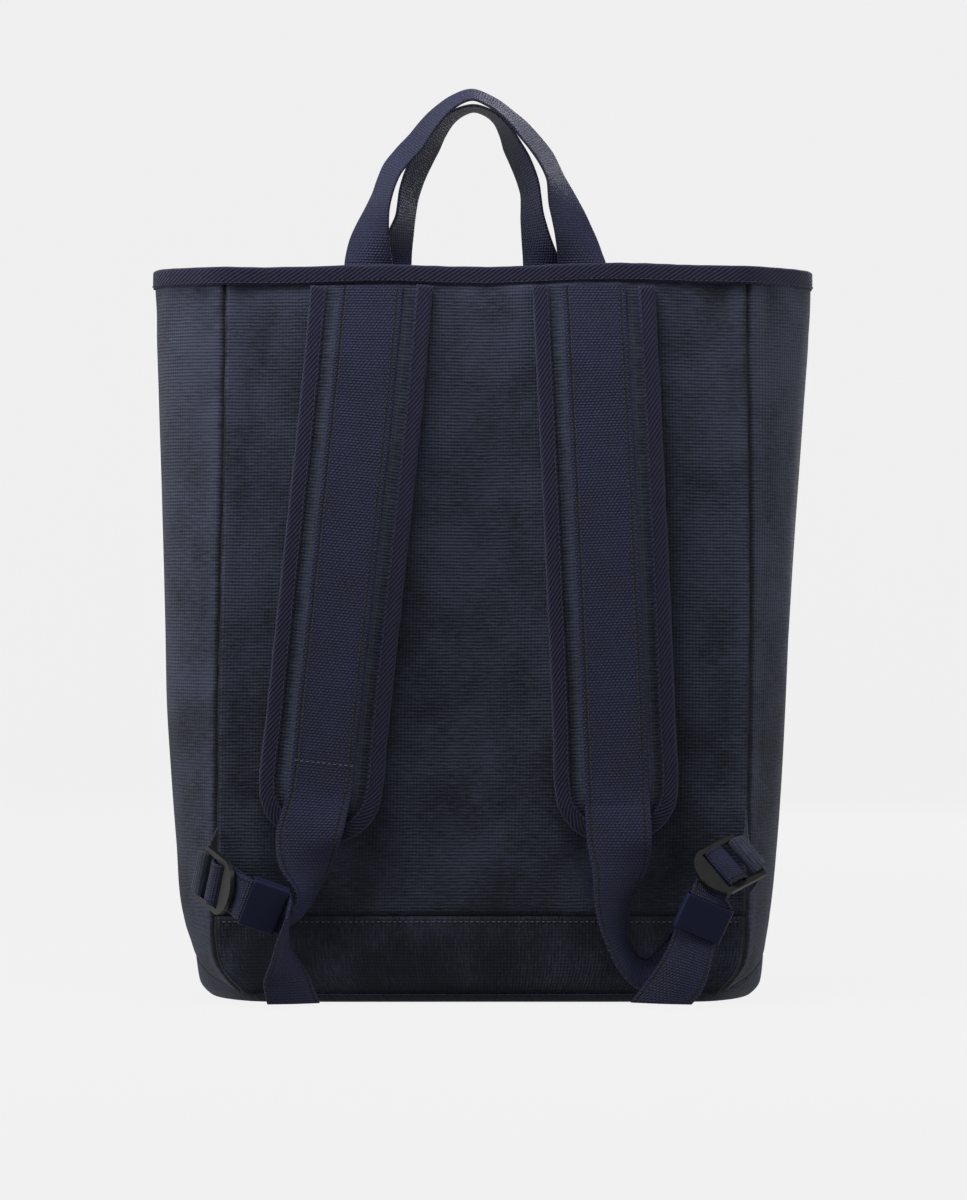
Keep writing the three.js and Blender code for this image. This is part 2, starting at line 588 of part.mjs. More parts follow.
// Run of the webbing through the buckle, from the deep run, over the middle bar, to the run beneath
// the lip: along is a share of the buckle's length, height a share of its thickness, and skew says
// how far the run has come round to the way it is pulled, from 0 to 1
const wrap = [
  { along: 0.95, height: -2.1, skew: 1 }, { along: 0.7, height: -2.1, skew: 0.4 },
  { along: 0.46, height: -1.95, skew: 0 }, { along: 0.31, height: -1.25, skew: 0 },
  { along: 0.27, height: 0, skew: 0 }, { along: 0.33, height: 1, skew: 0 },
  { along: 0.45, height: 1.4, skew: 0 },
  { along: 0.545, height: 1.1, skew: 0 }, { along: 0.59, height: 0.3, skew: 0 },
  { along: 0.6, height: -0.45, skew: 0 }, { along: 0.65, height: -1.05, skew: 0.2 },
  { along: 0.75, height: -1.25, skew: 0.5 }, { along: 0.95, height: -1.25, skew: 1 },
];

// Lower webbing. Each row is the middle of the ribbon: across, up and out as for harnessPoint, its
// edge direction (from its left edge to its right one, x right, y into the bag, z up), its width as
// a share of the strap width, and how deeply it is channelled, as a share of its thickness.
const lowerRuns = {
  left: {
    fall: [
      { across: -0.65, up: 0.22, out: 0.98, edge: [1, 0, 0], width: 1, curl: 0 },
      { across: -0.655, up: 0.184, out: 0.95, edge: [0.87, 0.5, 0], width: 0.9, curl: 0.5 },
      { across: -0.645, up: 0.156, out: 0.92, edge: [0.5, 0.86, 0], width: 0.74, curl: 0.8 },
      { across: -0.665, up: 0.133, out: 0.9, edge: [0.25, 0.95, -0.15], width: 0.68, curl: 0.8 },
      { across: -0.7, up: 0.121, out: 0.98, edge: [0.05, 0.93, -0.35], width: 0.68, curl: 0.4 },
    ],
    tail: [
      { across: -0.722, up: 0.108, out: 1.7, edge: [-0.05, 0.8, -0.6], width: 0.68, curl: 0.2 },
      { across: -0.728, up: 0.086, out: 1.5, edge: [0.25, 0.92, -0.3], width: 0.68, curl: 0.6 },
      { across: -0.722, up: 0.06, out: 1.22, edge: [0.6, 0.78, 0], width: 0.7, curl: 1.4 },
      { across: -0.72, up: 0.031, out: 1, edge: [0.9, 0.4, 0], width: 0.8, curl: 1.4 },
      { across: -0.7, up: 0.0033, out: 0.95, edge: [0.95, 0.3, 0], width: 0.86, curl: 1.2 },
    ],
    keeper: { across: -0.81, up: 0.1375, out: 1.64, along: [0.93, 0.15, -0.33], face: [-0.15, -0.97, -0.2] },
  },
  right: {
    fall: [
      { across: 0.508, up: 0.218, out: 1.0, edge: [1, 0, 0], width: 1, curl: 0 },
      { across: 0.51, up: 0.183, out: 1, edge: [0.92, 0.35, 0], width: 0.92, curl: 0.4 },
      { across: 0.49, up: 0.133, out: 0.95, edge: [0.72, 0.7, 0], width: 0.78, curl: 0.8 },
      { across: 0.503, up: 0.092, out: 0.9, edge: [0.5, 0.85, 0.1], width: 0.7, curl: 0.8 },
      { across: 0.545, up: 0.06, out: 0.85, edge: [0.3, 0.8, 0.45], width: 0.68, curl: 0.6 },
      { across: 0.61, up: 0.042, out: 0.62, edge: [0, 0.7, 0.72], width: 0.68, curl: 0.4 },
      { across: 0.69, up: 0.055, out: 0.5, edge: [-0.5, 0.5, 0.7], width: 0.68, curl: 0.2 },
      { across: 0.765, up: 0.083, out: 0.62, edge: [-0.82, 0.25, 0.5], width: 0.68, curl: 0 },
    ],
    tail: [
      { across: 0.775, up: 0.08, out: 1.25, edge: [-0.93, 0.05, 0.36], width: 0.7, curl: -1 },
      { across: 0.745, up: 0.052, out: 1.4, edge: [-0.96, 0, 0.28], width: 0.78, curl: -1.8 },
      { across: 0.7, up: 0.024, out: 1.42, edge: [-0.97, 0.05, 0.2], width: 0.88, curl: -1.8 },
      { across: 0.66, up: 0.0055, out: 1.4, edge: [-1, 0.05, 0.03], width: 0.95, curl: -1 },
    ],
    keeper: { across: 0.818, up: 0.1205, out: 1.22, along: [-0.4, 0.2, -0.9], face: [0.05, -1, -0.15] },
  },
};

const runGap = webbing / 2 + layerGap; // each run's middle from the keeper's middle

function edges(centre, direction, width) {
  const half = new THREE.Vector3(...direction).normalize().multiplyScalar(width / 2);
  return { a: centre.clone().sub(half), b: centre.clone().add(half) };
}

function harnessStation(row) {
  return { ...edges(harnessPoint(row), row.edge, row.width * strapWidth), curl: row.curl * webbing };
}

// Webbing down the pad, freely to the keeper, over the buckle's middle bar and back as the tail. Its
// first rows lie straight: those on the pad and the two just below it.
function strapGeometry(side, name) {
  const downs = padEnds.map((end) => 1 - end / padLength).filter((down) => down < 0.93);
  const onPad = downs.map((down) => {
    const { centre, across, out } = padFrame(side, down);
    const rise = padEdge / 2 + (padThickness - padEdge) * (1 - padBack) * padFill(down);
    centre.addScaledVector(out, rise + layerGap + webbing / 2);
    return edges(centre, across.toArray(), strapWidth);
  });
  const buckle = frameOf(harnessPoint(buckles[name]), buckles[name].along, buckles[name].face);
  const run = lowerRuns[name];
  const keeper = frameOf(harnessPoint(run.keeper), run.keeper.along, run.keeper.face);
  const across = keeper.v.clone().negate().toArray();
  const inKeeper = (height, order) => order.map((t) =>
    edges(keeper.at(t * keeperLength * 0.5, 0, height), across, tailWidth));
  const inBuckle = wrap.filter((row) => row.along <= buckles[name].reach).map(({ along, height, skew }) => {
    const aside = skew * buckles[name].skew * buckleWidth;
    const middle = buckle.at(along * buckleLength, aside, height * buckleThickness);
    return edges(middle, buckle.v.clone().negate().toArray(), tailWidth);
  });
  const stations = [
    ...onPad, ...run.fall.map(harnessStation), ...inKeeper(-runGap, [1.05, 0, -1.05]),
    ...inBuckle, ...inKeeper(runGap, [-1.05, 0, 1.05]), ...run.tail.map(harnessStation),
  ];
  return ribbon(stations, { plain: onPad.length + 2 });
}

// Keeper: a flat sleeve round the two runs
function keeperGeometry({ across, up, out, along, face }) {
  const frame = frameOf(harnessPoint({ across, up, out }), along, face);
  const inner = { wide: tailWidth / 2 + 3 * gap, high: runGap + webbing / 2 + 4 * gap };
  const half = [[1, 0.5], [0.93, 1], [0, 1], [-0.93, 1], [-1, 0.5]];
  const section = [...half, ...half.map(([x, y]) => [-x, -y])];
  const loop = ({ wide, high }) => section.map(([x, y]) => [x * wide, y * high]);
  const outer = { wide: inner.wide + keeperWall, high: inner.high + keeperWall };
  const grid = (size) => [-0.5, 0, 0.5].map((t) =>
    loop(size).map(([v, n]) => frame.at(t * keeperLength, v, n)));
  return wallBody(grid(outer), grid(inner), { loopAcross: true });
}

// Side tab: a folded triangle of canvas, wide at the seam and as narrow as the bar it passes round
function tabGeometry(name) {
  const { side, up } = buckles[name];
  const buckle = frameOf(harnessPoint(buckles[name]), buckles[name].along, buckles[name].face);
  const width = 2 * (buckleWidth / 2 - buckleRail - gap);
  const turn = buckleBar / 2 + 2 * gap + webbing / 2;
  const high = buckleThickness / 2 + 2 * gap + webbing / 2;
  const atBar = (x, n, share = 1) =>
    edges(buckle.at(x, 0, n), buckle.v.clone().multiplyScalar(side).toArray(), share * width);
  const past = buckleBar / 3;
  const round = [atBar(past, -high), atBar(turn, -high / 2), atBar(turn, high / 2), atBar(past, high)];
  const neck = -buckleBar / 2 - 2 * webbing;
  const corner = (z) => new THREE.Vector3(side * (seamAt(side, z) - runGap), -depthAt(z) / 2 - 5 * gap, z);
  const middle = up * rimHeight;
  const seam = { a: corner(middle + tabHeight / 2), b: corner(middle - tabHeight / 2) };
  return ribbon([seam, atBar(neck, -high, 0.9), ...round, atBar(neck, high, 0.9)]);
}

[[-1, "left"], [1, "right"]].forEach(([side, name]) => {
  const { along, face } = buckles[name];
  const buckle = add(`buckle_${name}`, buckleGeometry(), finish(colour.plastic, 0.5));
  buckle.applyMatrix4(frameOf(harnessPoint(buckles[name]), along, face).basis);
  add(`strap_webbing_${name}`, strapGeometry(side, name), webbingFinish.clone());
  add(`keeper_${name}`, keeperGeometry(lowerRuns[name].keeper), finish(colour.keeper, 0.6));
  add(`side_tab_${name}`, tabGeometry(name), canvasFinish.clone());
});

// The origin is the middle of the whole backpack's footprint, on the surface that it stands on
const footprint = new THREE.Box3().setFromObject(backpack, true);
backpack.position.copy(footprint.getCenter(new THREE.Vector3()).negate().setZ(-footprint.min.z));

export default backpack;
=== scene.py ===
import math

import bmesh
import bpy
import numpy as np
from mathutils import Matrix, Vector, noise


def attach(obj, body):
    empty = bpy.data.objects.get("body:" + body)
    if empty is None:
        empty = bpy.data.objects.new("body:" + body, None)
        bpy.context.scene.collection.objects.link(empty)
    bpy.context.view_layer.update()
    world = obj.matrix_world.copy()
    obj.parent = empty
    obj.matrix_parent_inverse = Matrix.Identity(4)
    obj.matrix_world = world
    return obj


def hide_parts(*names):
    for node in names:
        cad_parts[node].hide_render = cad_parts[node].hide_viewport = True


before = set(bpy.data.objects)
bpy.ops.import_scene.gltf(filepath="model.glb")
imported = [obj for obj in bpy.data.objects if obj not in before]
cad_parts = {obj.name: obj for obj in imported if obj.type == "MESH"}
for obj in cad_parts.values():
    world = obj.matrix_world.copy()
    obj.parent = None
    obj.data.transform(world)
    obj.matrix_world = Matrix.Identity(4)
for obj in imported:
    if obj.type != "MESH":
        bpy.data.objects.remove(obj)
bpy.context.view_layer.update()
scene = bpy.context.scene


# Studio: pale paper that sweeps up all round, with a large soft light on the left, a weaker one on the
# right, one behind for the front panel, and a small one above the straps that fades towards the
# floor. The camera looks square on at the harness side, its lens level with the middle of the bag.
def linear(hexcode):
    """Turns an sRGB hex colour into the linear values that a node takes."""
    parts = [int(hexcode[i:i + 2], 16) / 255 for i in (1, 3, 5)]
    return [*(c / 12.92 if c <= 0.04045 else ((c + 0.055) / 1.055) ** 2.4 for c in parts), 1.0]


def add_node(tree, kind, sockets=None, **settings):
    """Adds a node. A socket takes a value, another node (its first output) or one of its outputs."""
    made = tree.nodes.new(kind)
    for name, value in settings.items():
        setattr(made, name, value)
    for name, value in (sockets or {}).items():
        if isinstance(value, bpy.types.Node):
            value = value.outputs[0]
        if isinstance(value, bpy.types.NodeSocket):
            tree.links.new(value, made.inputs[name])
        else:
            made.inputs[name].default_value = value
    return made


def new_material(name):
    """An empty material with its output and shader, joined."""
    made = bpy.data.materials.new(name)
    made.use_nodes = True
    made.node_tree.nodes.clear()
    shader = add_node(made.node_tree, "ShaderNodeBsdfPrincipled")
    add_node(made.node_tree, "ShaderNodeOutputMaterial", {"Surface": shader})
    return made, made.node_tree, shader


camera_data = bpy.data.cameras.new("camera")
camera_data.lens = 150
camera_data.sensor_width = 36
camera = bpy.data.objects.new("camera", camera_data)
camera.location = (0.0006, -3.041, 0.2418)
camera.rotation_euler = (math.radians(90), 0, 0)
scene.collection.objects.link(camera)
scene.camera = camera
scene.view_settings.view_transform = "Standard"

paper, tree, shader = new_material("studio_paper")
grain = add_node(tree, "ShaderNodeTexNoise", {"Scale": 3.0, "Detail": 2.0})
tone = add_node(tree, "ShaderNodeMapRange", {"Value": grain, "To Min": 0.985, "To Max": 0.995})
shader.inputs["Base Color"].default_value = linear("#2c2c2c")
shader.inputs["Roughness"].default_value = 1.0
shader.inputs["Specular IOR Level"].default_value = 0.0
shader.inputs["Emission Color"].default_value = linear("#f0f0f0")
tree.links.new(tone.outputs[0], shader.inputs["Emission Strength"])

# The paper is a wide bowl, flat where the bag stands and a hair below it, upright at its edge. It
# neither lights the bag nor shades it from the lights outside the bowl.
BOWL_RADIUS, BOWL_BEND, BOWL_SIDES = 6.0, 1.5, 64
PAPER_LEVEL = -0.0004
bend_from = BOWL_RADIUS - BOWL_BEND
profile = [(0.01, 0.0), (BOWL_BEND, 0.0), (bend_from, 0.0)]
for a in np.linspace(0, math.pi / 2, 17)[1:]:
    profile.append((bend_from + BOWL_BEND * math.sin(a), BOWL_BEND - BOWL_BEND * math.cos(a)))
profile.append((BOWL_RADIUS, BOWL_RADIUS))
sweep = bmesh.new()
rings = []
for radius, rise in profile:
    turns = np.linspace(0, 2 * math.pi, BOWL_SIDES + 1)[:-1]
    rings.append([sweep.verts.new((radius * math.cos(a), radius * math.sin(a), rise + PAPER_LEVEL))
                  for a in turns])
sweep.faces.new(rings[0])
for low, high in zip(rings, rings[1:]):
    for k in range(BOWL_SIDES):
        sweep.faces.new((low[k - 1], high[k - 1], high[k], low[k]))
sweep_mesh = bpy.data.meshes.new("paper_sweep")
sweep.to_mesh(sweep_mesh)
sweep_mesh.shade_smooth()
sweep_mesh.materials.append(paper)
floor = bpy.data.objects.new("paper_sweep", sweep_mesh)
scene.collection.objects.link(floor)
floor.visible_diffuse = False
floor.visible_shadow = False


def soft_light(name, place, target, size, watts):
    """A large square light that shines from a place towards a target."""
    data = bpy.data.lights.new(name, "AREA")
    data.shape, data.size, data.energy = "SQUARE", size, watts
    light = bpy.data.objects.new(name, data)
    light.location = place
    light.rotation_euler = (Vector(target) - Vector(place)).to_track_quat("-Z", "Y").to_euler()
    scene.collection.objects.link(light)


soft_light("key_left", (-2.4, -0.55, 0.9), (0, 0, 0.25), 1.3, 40)
soft_light("fill_right", (2.4, -0.5, 0.8), (0, 0, 0.2), 1.3, 24)
soft_light("above_straps", (-0.12, -0.3, 1.1), (0, -0.08, 0.4), 0.4, 7)
soft_light("behind", (0.9, 2.4, 1.1), (0, 0.1, 0.25), 1.3, 26)
world = bpy.data.worlds.new("studio")
world.use_nodes = True
world.node_tree.nodes["Background"].inputs["Color"].default_value = linear("#ffffff")
world.node_tree.nodes["Background"].inputs["Strength"].default_value = 0.08
scene.world = world


# Bag body: four panels of heavy cotton canvas, garment-washed, sewn edge to edge with the seams turned
# in. The washing leaves soft dents, small puckers beside each seam, gathers under the rim, and dye
# rubbed away in patches. The colour also holds painted light and shade: paler towards the rim and
# darker towards the foot, darker in the fold hollows and paler on their crests, and darker in the
# seam grooves, where some dye also stays.
MM = 0.001
SAME_POINT = 0.02 * MM


def spline(points, at, where):
    """The smooth curve through points, whose parameters are at, taken at the parameters where."""
    slope = np.gradient(points, at, axis=0)
    i = np.clip(np.searchsorted(at, where, side="right") - 1, 0, len(at) - 2)
    shape = (-1,) + (1,) * (points.ndim - 1)
    span = (at[i + 1] - at[i]).reshape(shape)
    t = np.clip((where - at[i]).reshape(shape) / span, 0, 1)
    return (points[i] * (2 * t**3 - 3 * t**2 + 1) + slope[i] * span * (t**3 - 2 * t**2 + t)
            + points[i + 1] * (3 * t**2 - 2 * t**3) + slope[i + 1] * span * (t**3 - t**2))


def finer(grid, down, wide, at_down, at_wide):
    """A grid of points made finer both ways by smooth curves."""
    grid = np.swapaxes(spline(grid, down, at_down), 0, 1)
    return np.swapaxes(spline(grid, wide, at_wide), 0, 1)


def unit(vectors):
    """The vectors with a length of 1."""
    return vectors / np.maximum(np.linalg.norm(vectors, axis=-1, keepdims=True), 1e-12)


def lengths(points):
    """Distance along a row of points, from 0."""
    return np.concatenate([[0], np.cumsum(np.linalg.norm(np.diff(points, axis=0), axis=1))])


def top_end(points):
    """Ranks the highest points first."""
    return -points[:, 2]


def packed_rows(name, columns, rank=top_end):
    """Rows of points of a packed wall: its two sides, each [row, column, xyz]. The points that rank
    puts lowest are the first row."""
    mesh = bmesh.new()
    mesh.from_mesh(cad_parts[name].data)
    bmesh.ops.remove_doubles(mesh, verts=mesh.verts, dist=SAME_POINT)
    co = np.array([v.co for v in mesh.verts])
    near = [{edge.other_vert(v).index for edge in v.link_edges} for v in mesh.verts]
    mesh.free()
    rows, seen = [set(np.argsort(rank(co), kind="stable")[:2 * columns].tolist())], set()
    while rows[-1]:
        seen |= rows[-1]
        rows.append({j for i in rows[-1] for j in near[i]} - seen)
    rows.pop()

    def loop(row):
        """The row's points in order round the wall."""
        order = [min(row)]
        while len(order) < len(row):
            order.append(next(j for j in sorted(near[order[-1]] & row) if j not in order))
        return co[order]

    def sides(ring):
        """The ring's two sides, paired so that the wall is thinnest."""
        turned = [np.roll(ring, -k, axis=0) for k in range(columns)]
        pairs = [(r[:columns], r[columns:][::-1]) for r in turned]
        return min(pairs, key=lambda p: np.linalg.norm(p[0] - p[1], axis=1).sum())

    def like(row, pair):
        """An end row's points, matched with those of the row beside it."""
        there, here = np.concatenate(pair), co[sorted(row)]
        size = [np.ptp(p, axis=0).max() for p in (there, here)]
        a = (there - there.mean(0)) / size[0]
        b = (here - here.mean(0)) / size[1]
        gaps = np.linalg.norm(a[:, None] - b[None], axis=2)
        found = np.full(len(a), -1)
        for k in np.argsort(gaps, axis=None):
            i, j = divmod(int(k), len(b))
            if found[i] < 0 and j not in found:
                found[i] = j
        return here[found][:columns], here[found][columns:]

    made = []
    for row in rows[1:-1]:
        one, two = sides(loop(row))
        if made:
            options = [(one, two), (two, one), (one[::-1], two[::-1]), (two[::-1], one[::-1])]
            before = np.concatenate(made[-1])
            steps = [np.linalg.norm(np.concatenate(p) - before, axis=1).sum() for p in options]
            one, two = options[int(np.argmin(steps))]
        made.append((one, two))
    made = [like(rows[0], made[0]), *made, like(rows[-1], made[-1])]
    return np.array([m[0] for m in made]), np.array([m[1] for m in made])


def facing(sides, way):
    """The two sides with the one that faces a way first."""
    centre = [s[len(s) // 3].mean(0) for s in sides]
    return sides if np.dot(centre[0] - centre[1], way) > 0 else sides[::-1]


def places(length, step, edge):
    """Places along a length, one in each step, with close ones where the edge is rounded."""
    ends = np.array([0, 0.08, 0.3, 0.65, 1.0]) * edge
    middle = np.linspace(edge, length - edge, max(3, int(length / step)))
    return np.concatenate([ends[:-1], middle, (length - ends[:-1])[::-1]])


def new_piece(name, vertices, faces, uv, material, nodes=()):
    """A smooth mesh that rides on the bag. Its UV map is in metres along and across the cloth."""
    mesh = bpy.data.meshes.new(name)
    mesh.from_pydata(vertices.tolist(), [], faces)
    corners = np.empty(len(mesh.loops), int)
    mesh.loops.foreach_get("vertex_index", corners)
    mesh.uv_layers.new(name="cloth").data.foreach_set("uv", uv[corners].ravel())
    mesh.shade_smooth()
    mesh.materials.append(material)
    made = bpy.data.objects.new(name, mesh)
    scene.collection.objects.link(made)
    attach(made, "root")
    if nodes:
        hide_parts(*nodes)
    return made


def grid_faces(rows, columns, start=0, flip=False):
    """The squares between the points of a grid, which are numbered row by row from start."""
    i, j = np.meshgrid(np.arange(rows - 1), np.arange(columns - 1), indexing="ij")
    a = start + (i * columns + j).ravel()
    quads = np.stack([a, a + 1, a + columns + 1, a + columns], axis=1)
    return quads[:, ::-1] if flip else quads


def cloth_shell(name, outside, inside, along, across, material, nodes=(), wear_and_shade=None):
    """Closes two grids of points into a thin piece of cloth. An optional value at each point, from -1
    to 1, darkens or pales its colour: rubbed dye, and painted shade and highlight."""
    rows, columns = outside.shape[:2]
    count = rows * columns
    ring = np.concatenate([
        np.arange(columns), np.arange(1, rows) * columns + columns - 1,
        (rows - 1) * columns + np.arange(columns - 2, -1, -1), np.arange(rows - 2, 0, -1) * columns,
    ])
    after = np.roll(ring, -1)
    wall = np.stack([ring, ring + count, after + count, after], axis=1)
    faces = np.concatenate([
        grid_faces(rows, columns), grid_faces(rows, columns, count, flip=True), wall]).tolist()
    u, v = np.meshgrid(along, across, indexing="ij")
    uv = np.tile(np.stack([u.ravel(), v.ravel()], axis=1), (2, 1))
    vertices = np.concatenate([outside.reshape(-1, 3), inside.reshape(-1, 3)])
    made = new_piece(name, vertices, faces, uv, material, nodes)
    if wear_and_shade is not None:
        layer = made.data.attributes.new("wear_and_shade", "FLOAT", "POINT")
        layer.data.foreach_set("value", np.tile(wear_and_shade.ravel(), 2).astype(np.float32))
    return made


def ripple(points, size, seed, stretch=(1, 1, 1)):
    """Smooth noise from -1 to 1 at each point, with bumps of about that size times the stretch."""
    scaled = points.reshape(-1, 3) / size / np.asarray(stretch) + seed * 7.31
    return np.array([noise.noise(Vector(p)) for p in scaled]).reshape(points.shape[:-1])


# Plain weave of thick, uneven yarns, the weft standing higher than the warp. The real threads are
# 1.3 mm apart; they are drawn 2 mm apart so that they show. The wash takes dye off the high threads
# and leaves cloudy patches. The cloth is matt, with a little fluff that pales it towards its edges.
canvas, tree, shader = new_material("washed_cotton_canvas")
NAVY_DEEP = "#141622"
NAVY_WASHED = "#3a3f53"
NAVY_RUBBED = "#5a6076"
THREAD = 2.0 * MM


def waves(tree, pitch_along, pitch_across, uneven):
    """The cloth's UV map, and sine waves from -1 to 1 along and across it that wander a little."""
    cloth = add_node(tree, "ShaderNodeUVMap", uv_map="cloth")
    drift = add_node(tree, "ShaderNodeTexNoise",
                     {"Vector": cloth, "Scale": 1 / (14 * MM), "Detail": 3.0})
    shift = add_node(tree, "ShaderNodeVectorMath", {0: drift.outputs["Color"], 1: (0.5, 0.5, 0.5)},
                     operation="SUBTRACT")
    small = add_node(tree, "ShaderNodeVectorMath", {0: shift, "Scale": uneven}, operation="SCALE")
    moved = add_node(tree, "ShaderNodeVectorMath", {0: cloth, 1: small}, operation="ADD")
    turns = add_node(tree, "ShaderNodeVectorMath",
                     {0: moved, 1: (2 * math.pi / pitch_along, 2 * math.pi / pitch_across, 1)},
                     operation="MULTIPLY")
    parts = add_node(tree, "ShaderNodeSeparateXYZ", {0: turns})
    along, across = (add_node(tree, "ShaderNodeMath", {0: parts.outputs[k]}, operation="SINE")
                     for k in (0, 1))
    return cloth, along, across


cloth, weft, warp = waves(tree, THREAD, THREAD, 1.0 * MM)
weave = add_node(tree, "ShaderNodeMath", {0: weft, 1: 0.3, 2: 0.5}, operation="MULTIPLY_ADD")
weave = add_node(tree, "ShaderNodeMath", {0: warp, 1: 0.2, 2: weave}, operation="MULTIPLY_ADD")
slubs = add_node(tree, "ShaderNodeMapping",
                 {"Vector": cloth, "Scale": (1 / (1.3 * MM), 1 / (7 * MM), 1)})
slub = add_node(tree, "ShaderNodeTexNoise",
                {"Vector": slubs, "Scale": 1.0, "Detail": 4.0, "Roughness": 0.65})
clouds = add_node(tree, "ShaderNodeTexNoise",
                  {"Vector": cloth, "Scale": 1 / (75 * MM), "Detail": 5.0, "Roughness": 0.6})
fleck = add_node(tree, "ShaderNodeTexNoise", {"Vector": cloth, "Scale": 1 / (2.2 * MM), "Detail": 3.0})
# Colour shift at each point of the panels: rubbed dye, and painted light and shade towards the rim and
# foot, in seam grooves and along folds.
wear_and_shade = add_node(tree, "ShaderNodeAttribute", attribute_name="wear_and_shade")
tone = add_node(tree, "ShaderNodeMath", {0: slub, 1: 1.7, 2: -0.75}, operation="MULTIPLY_ADD")
tone = add_node(tree, "ShaderNodeMath", {0: clouds, 1: 0.7, 2: tone}, operation="MULTIPLY_ADD")
tone = add_node(tree, "ShaderNodeMath", {0: weave, 1: 0.22, 2: tone}, operation="MULTIPLY_ADD")
tone = add_node(tree, "ShaderNodeMath",
                {0: wear_and_shade.outputs["Fac"], 1: 0.45, 2: tone}, operation="MULTIPLY_ADD")
dye = add_node(tree, "ShaderNodeValToRGB", {"Fac": tone})
dye.color_ramp.elements[0].position, dye.color_ramp.elements[0].color = 0.16, linear(NAVY_DEEP)
dye.color_ramp.elements[1].position, dye.color_ramp.elements[1].color = 0.85, linear(NAVY_WASHED)
rubbed = add_node(tree, "ShaderNodeMapRange", {"Value": fleck, "From Min": 0.66, "From Max": 0.9})
colour = add_node(tree, "ShaderNodeMix", {0: rubbed, 6: dye, 7: linear(NAVY_RUBBED)}, data_type="RGBA")
height = add_node(tree, "ShaderNodeMath", {0: slub, 1: 0.8, 2: weave}, operation="MULTIPLY_ADD")
relief = add_node(tree, "ShaderNodeBump", {"Height": height, "Strength": 0.9, "Distance": 0.35 * MM})
rough = add_node(tree, "ShaderNodeMapRange", {"Value": slub, "To Min": 0.82, "To Max": 1.0})
tree.links.new(colour.outputs[2], shader.inputs["Base Color"])
tree.links.new(rough.outputs[0], shader.inputs["Roughness"])
tree.links.new(relief.outputs[0], shader.inputs["Normal"])
shader.inputs["Specular IOR Level"].default_value = 0.15
shader.inputs["Sheen Weight"].default_value = 0.12
shader.inputs["Sheen Roughness"].default_value = 0.6

CANVAS_WALL = 2.0 * MM
CANVAS_STEP = 2.9 * MM
SEAM_ROLL = 3.2 * MM
# How far a side seam, the foot and the rim hold the cloth back. The gathers start below the tape, and
# take the same length to rise there as beside a seam.
SIDE_HOLD, FOOT_HOLD, RIM_HOLD = 30 * MM, 25 * MM, 14 * MM
GATHERS_FROM, GATHERS_RISE = 9 * MM, 8 * MM
RIM_LEVEL = 0.44
rim_rows, panel_grids = {}, {}


def ramp(distance, reach):
    """0 at no distance, rising to 1 at the reach."""
    return np.clip(distance / reach, 0, 1)


def swelling(distance, reach):
    """1 at no distance, falling away smoothly over the reach."""
    return np.exp(-((distance / reach) ** 2))


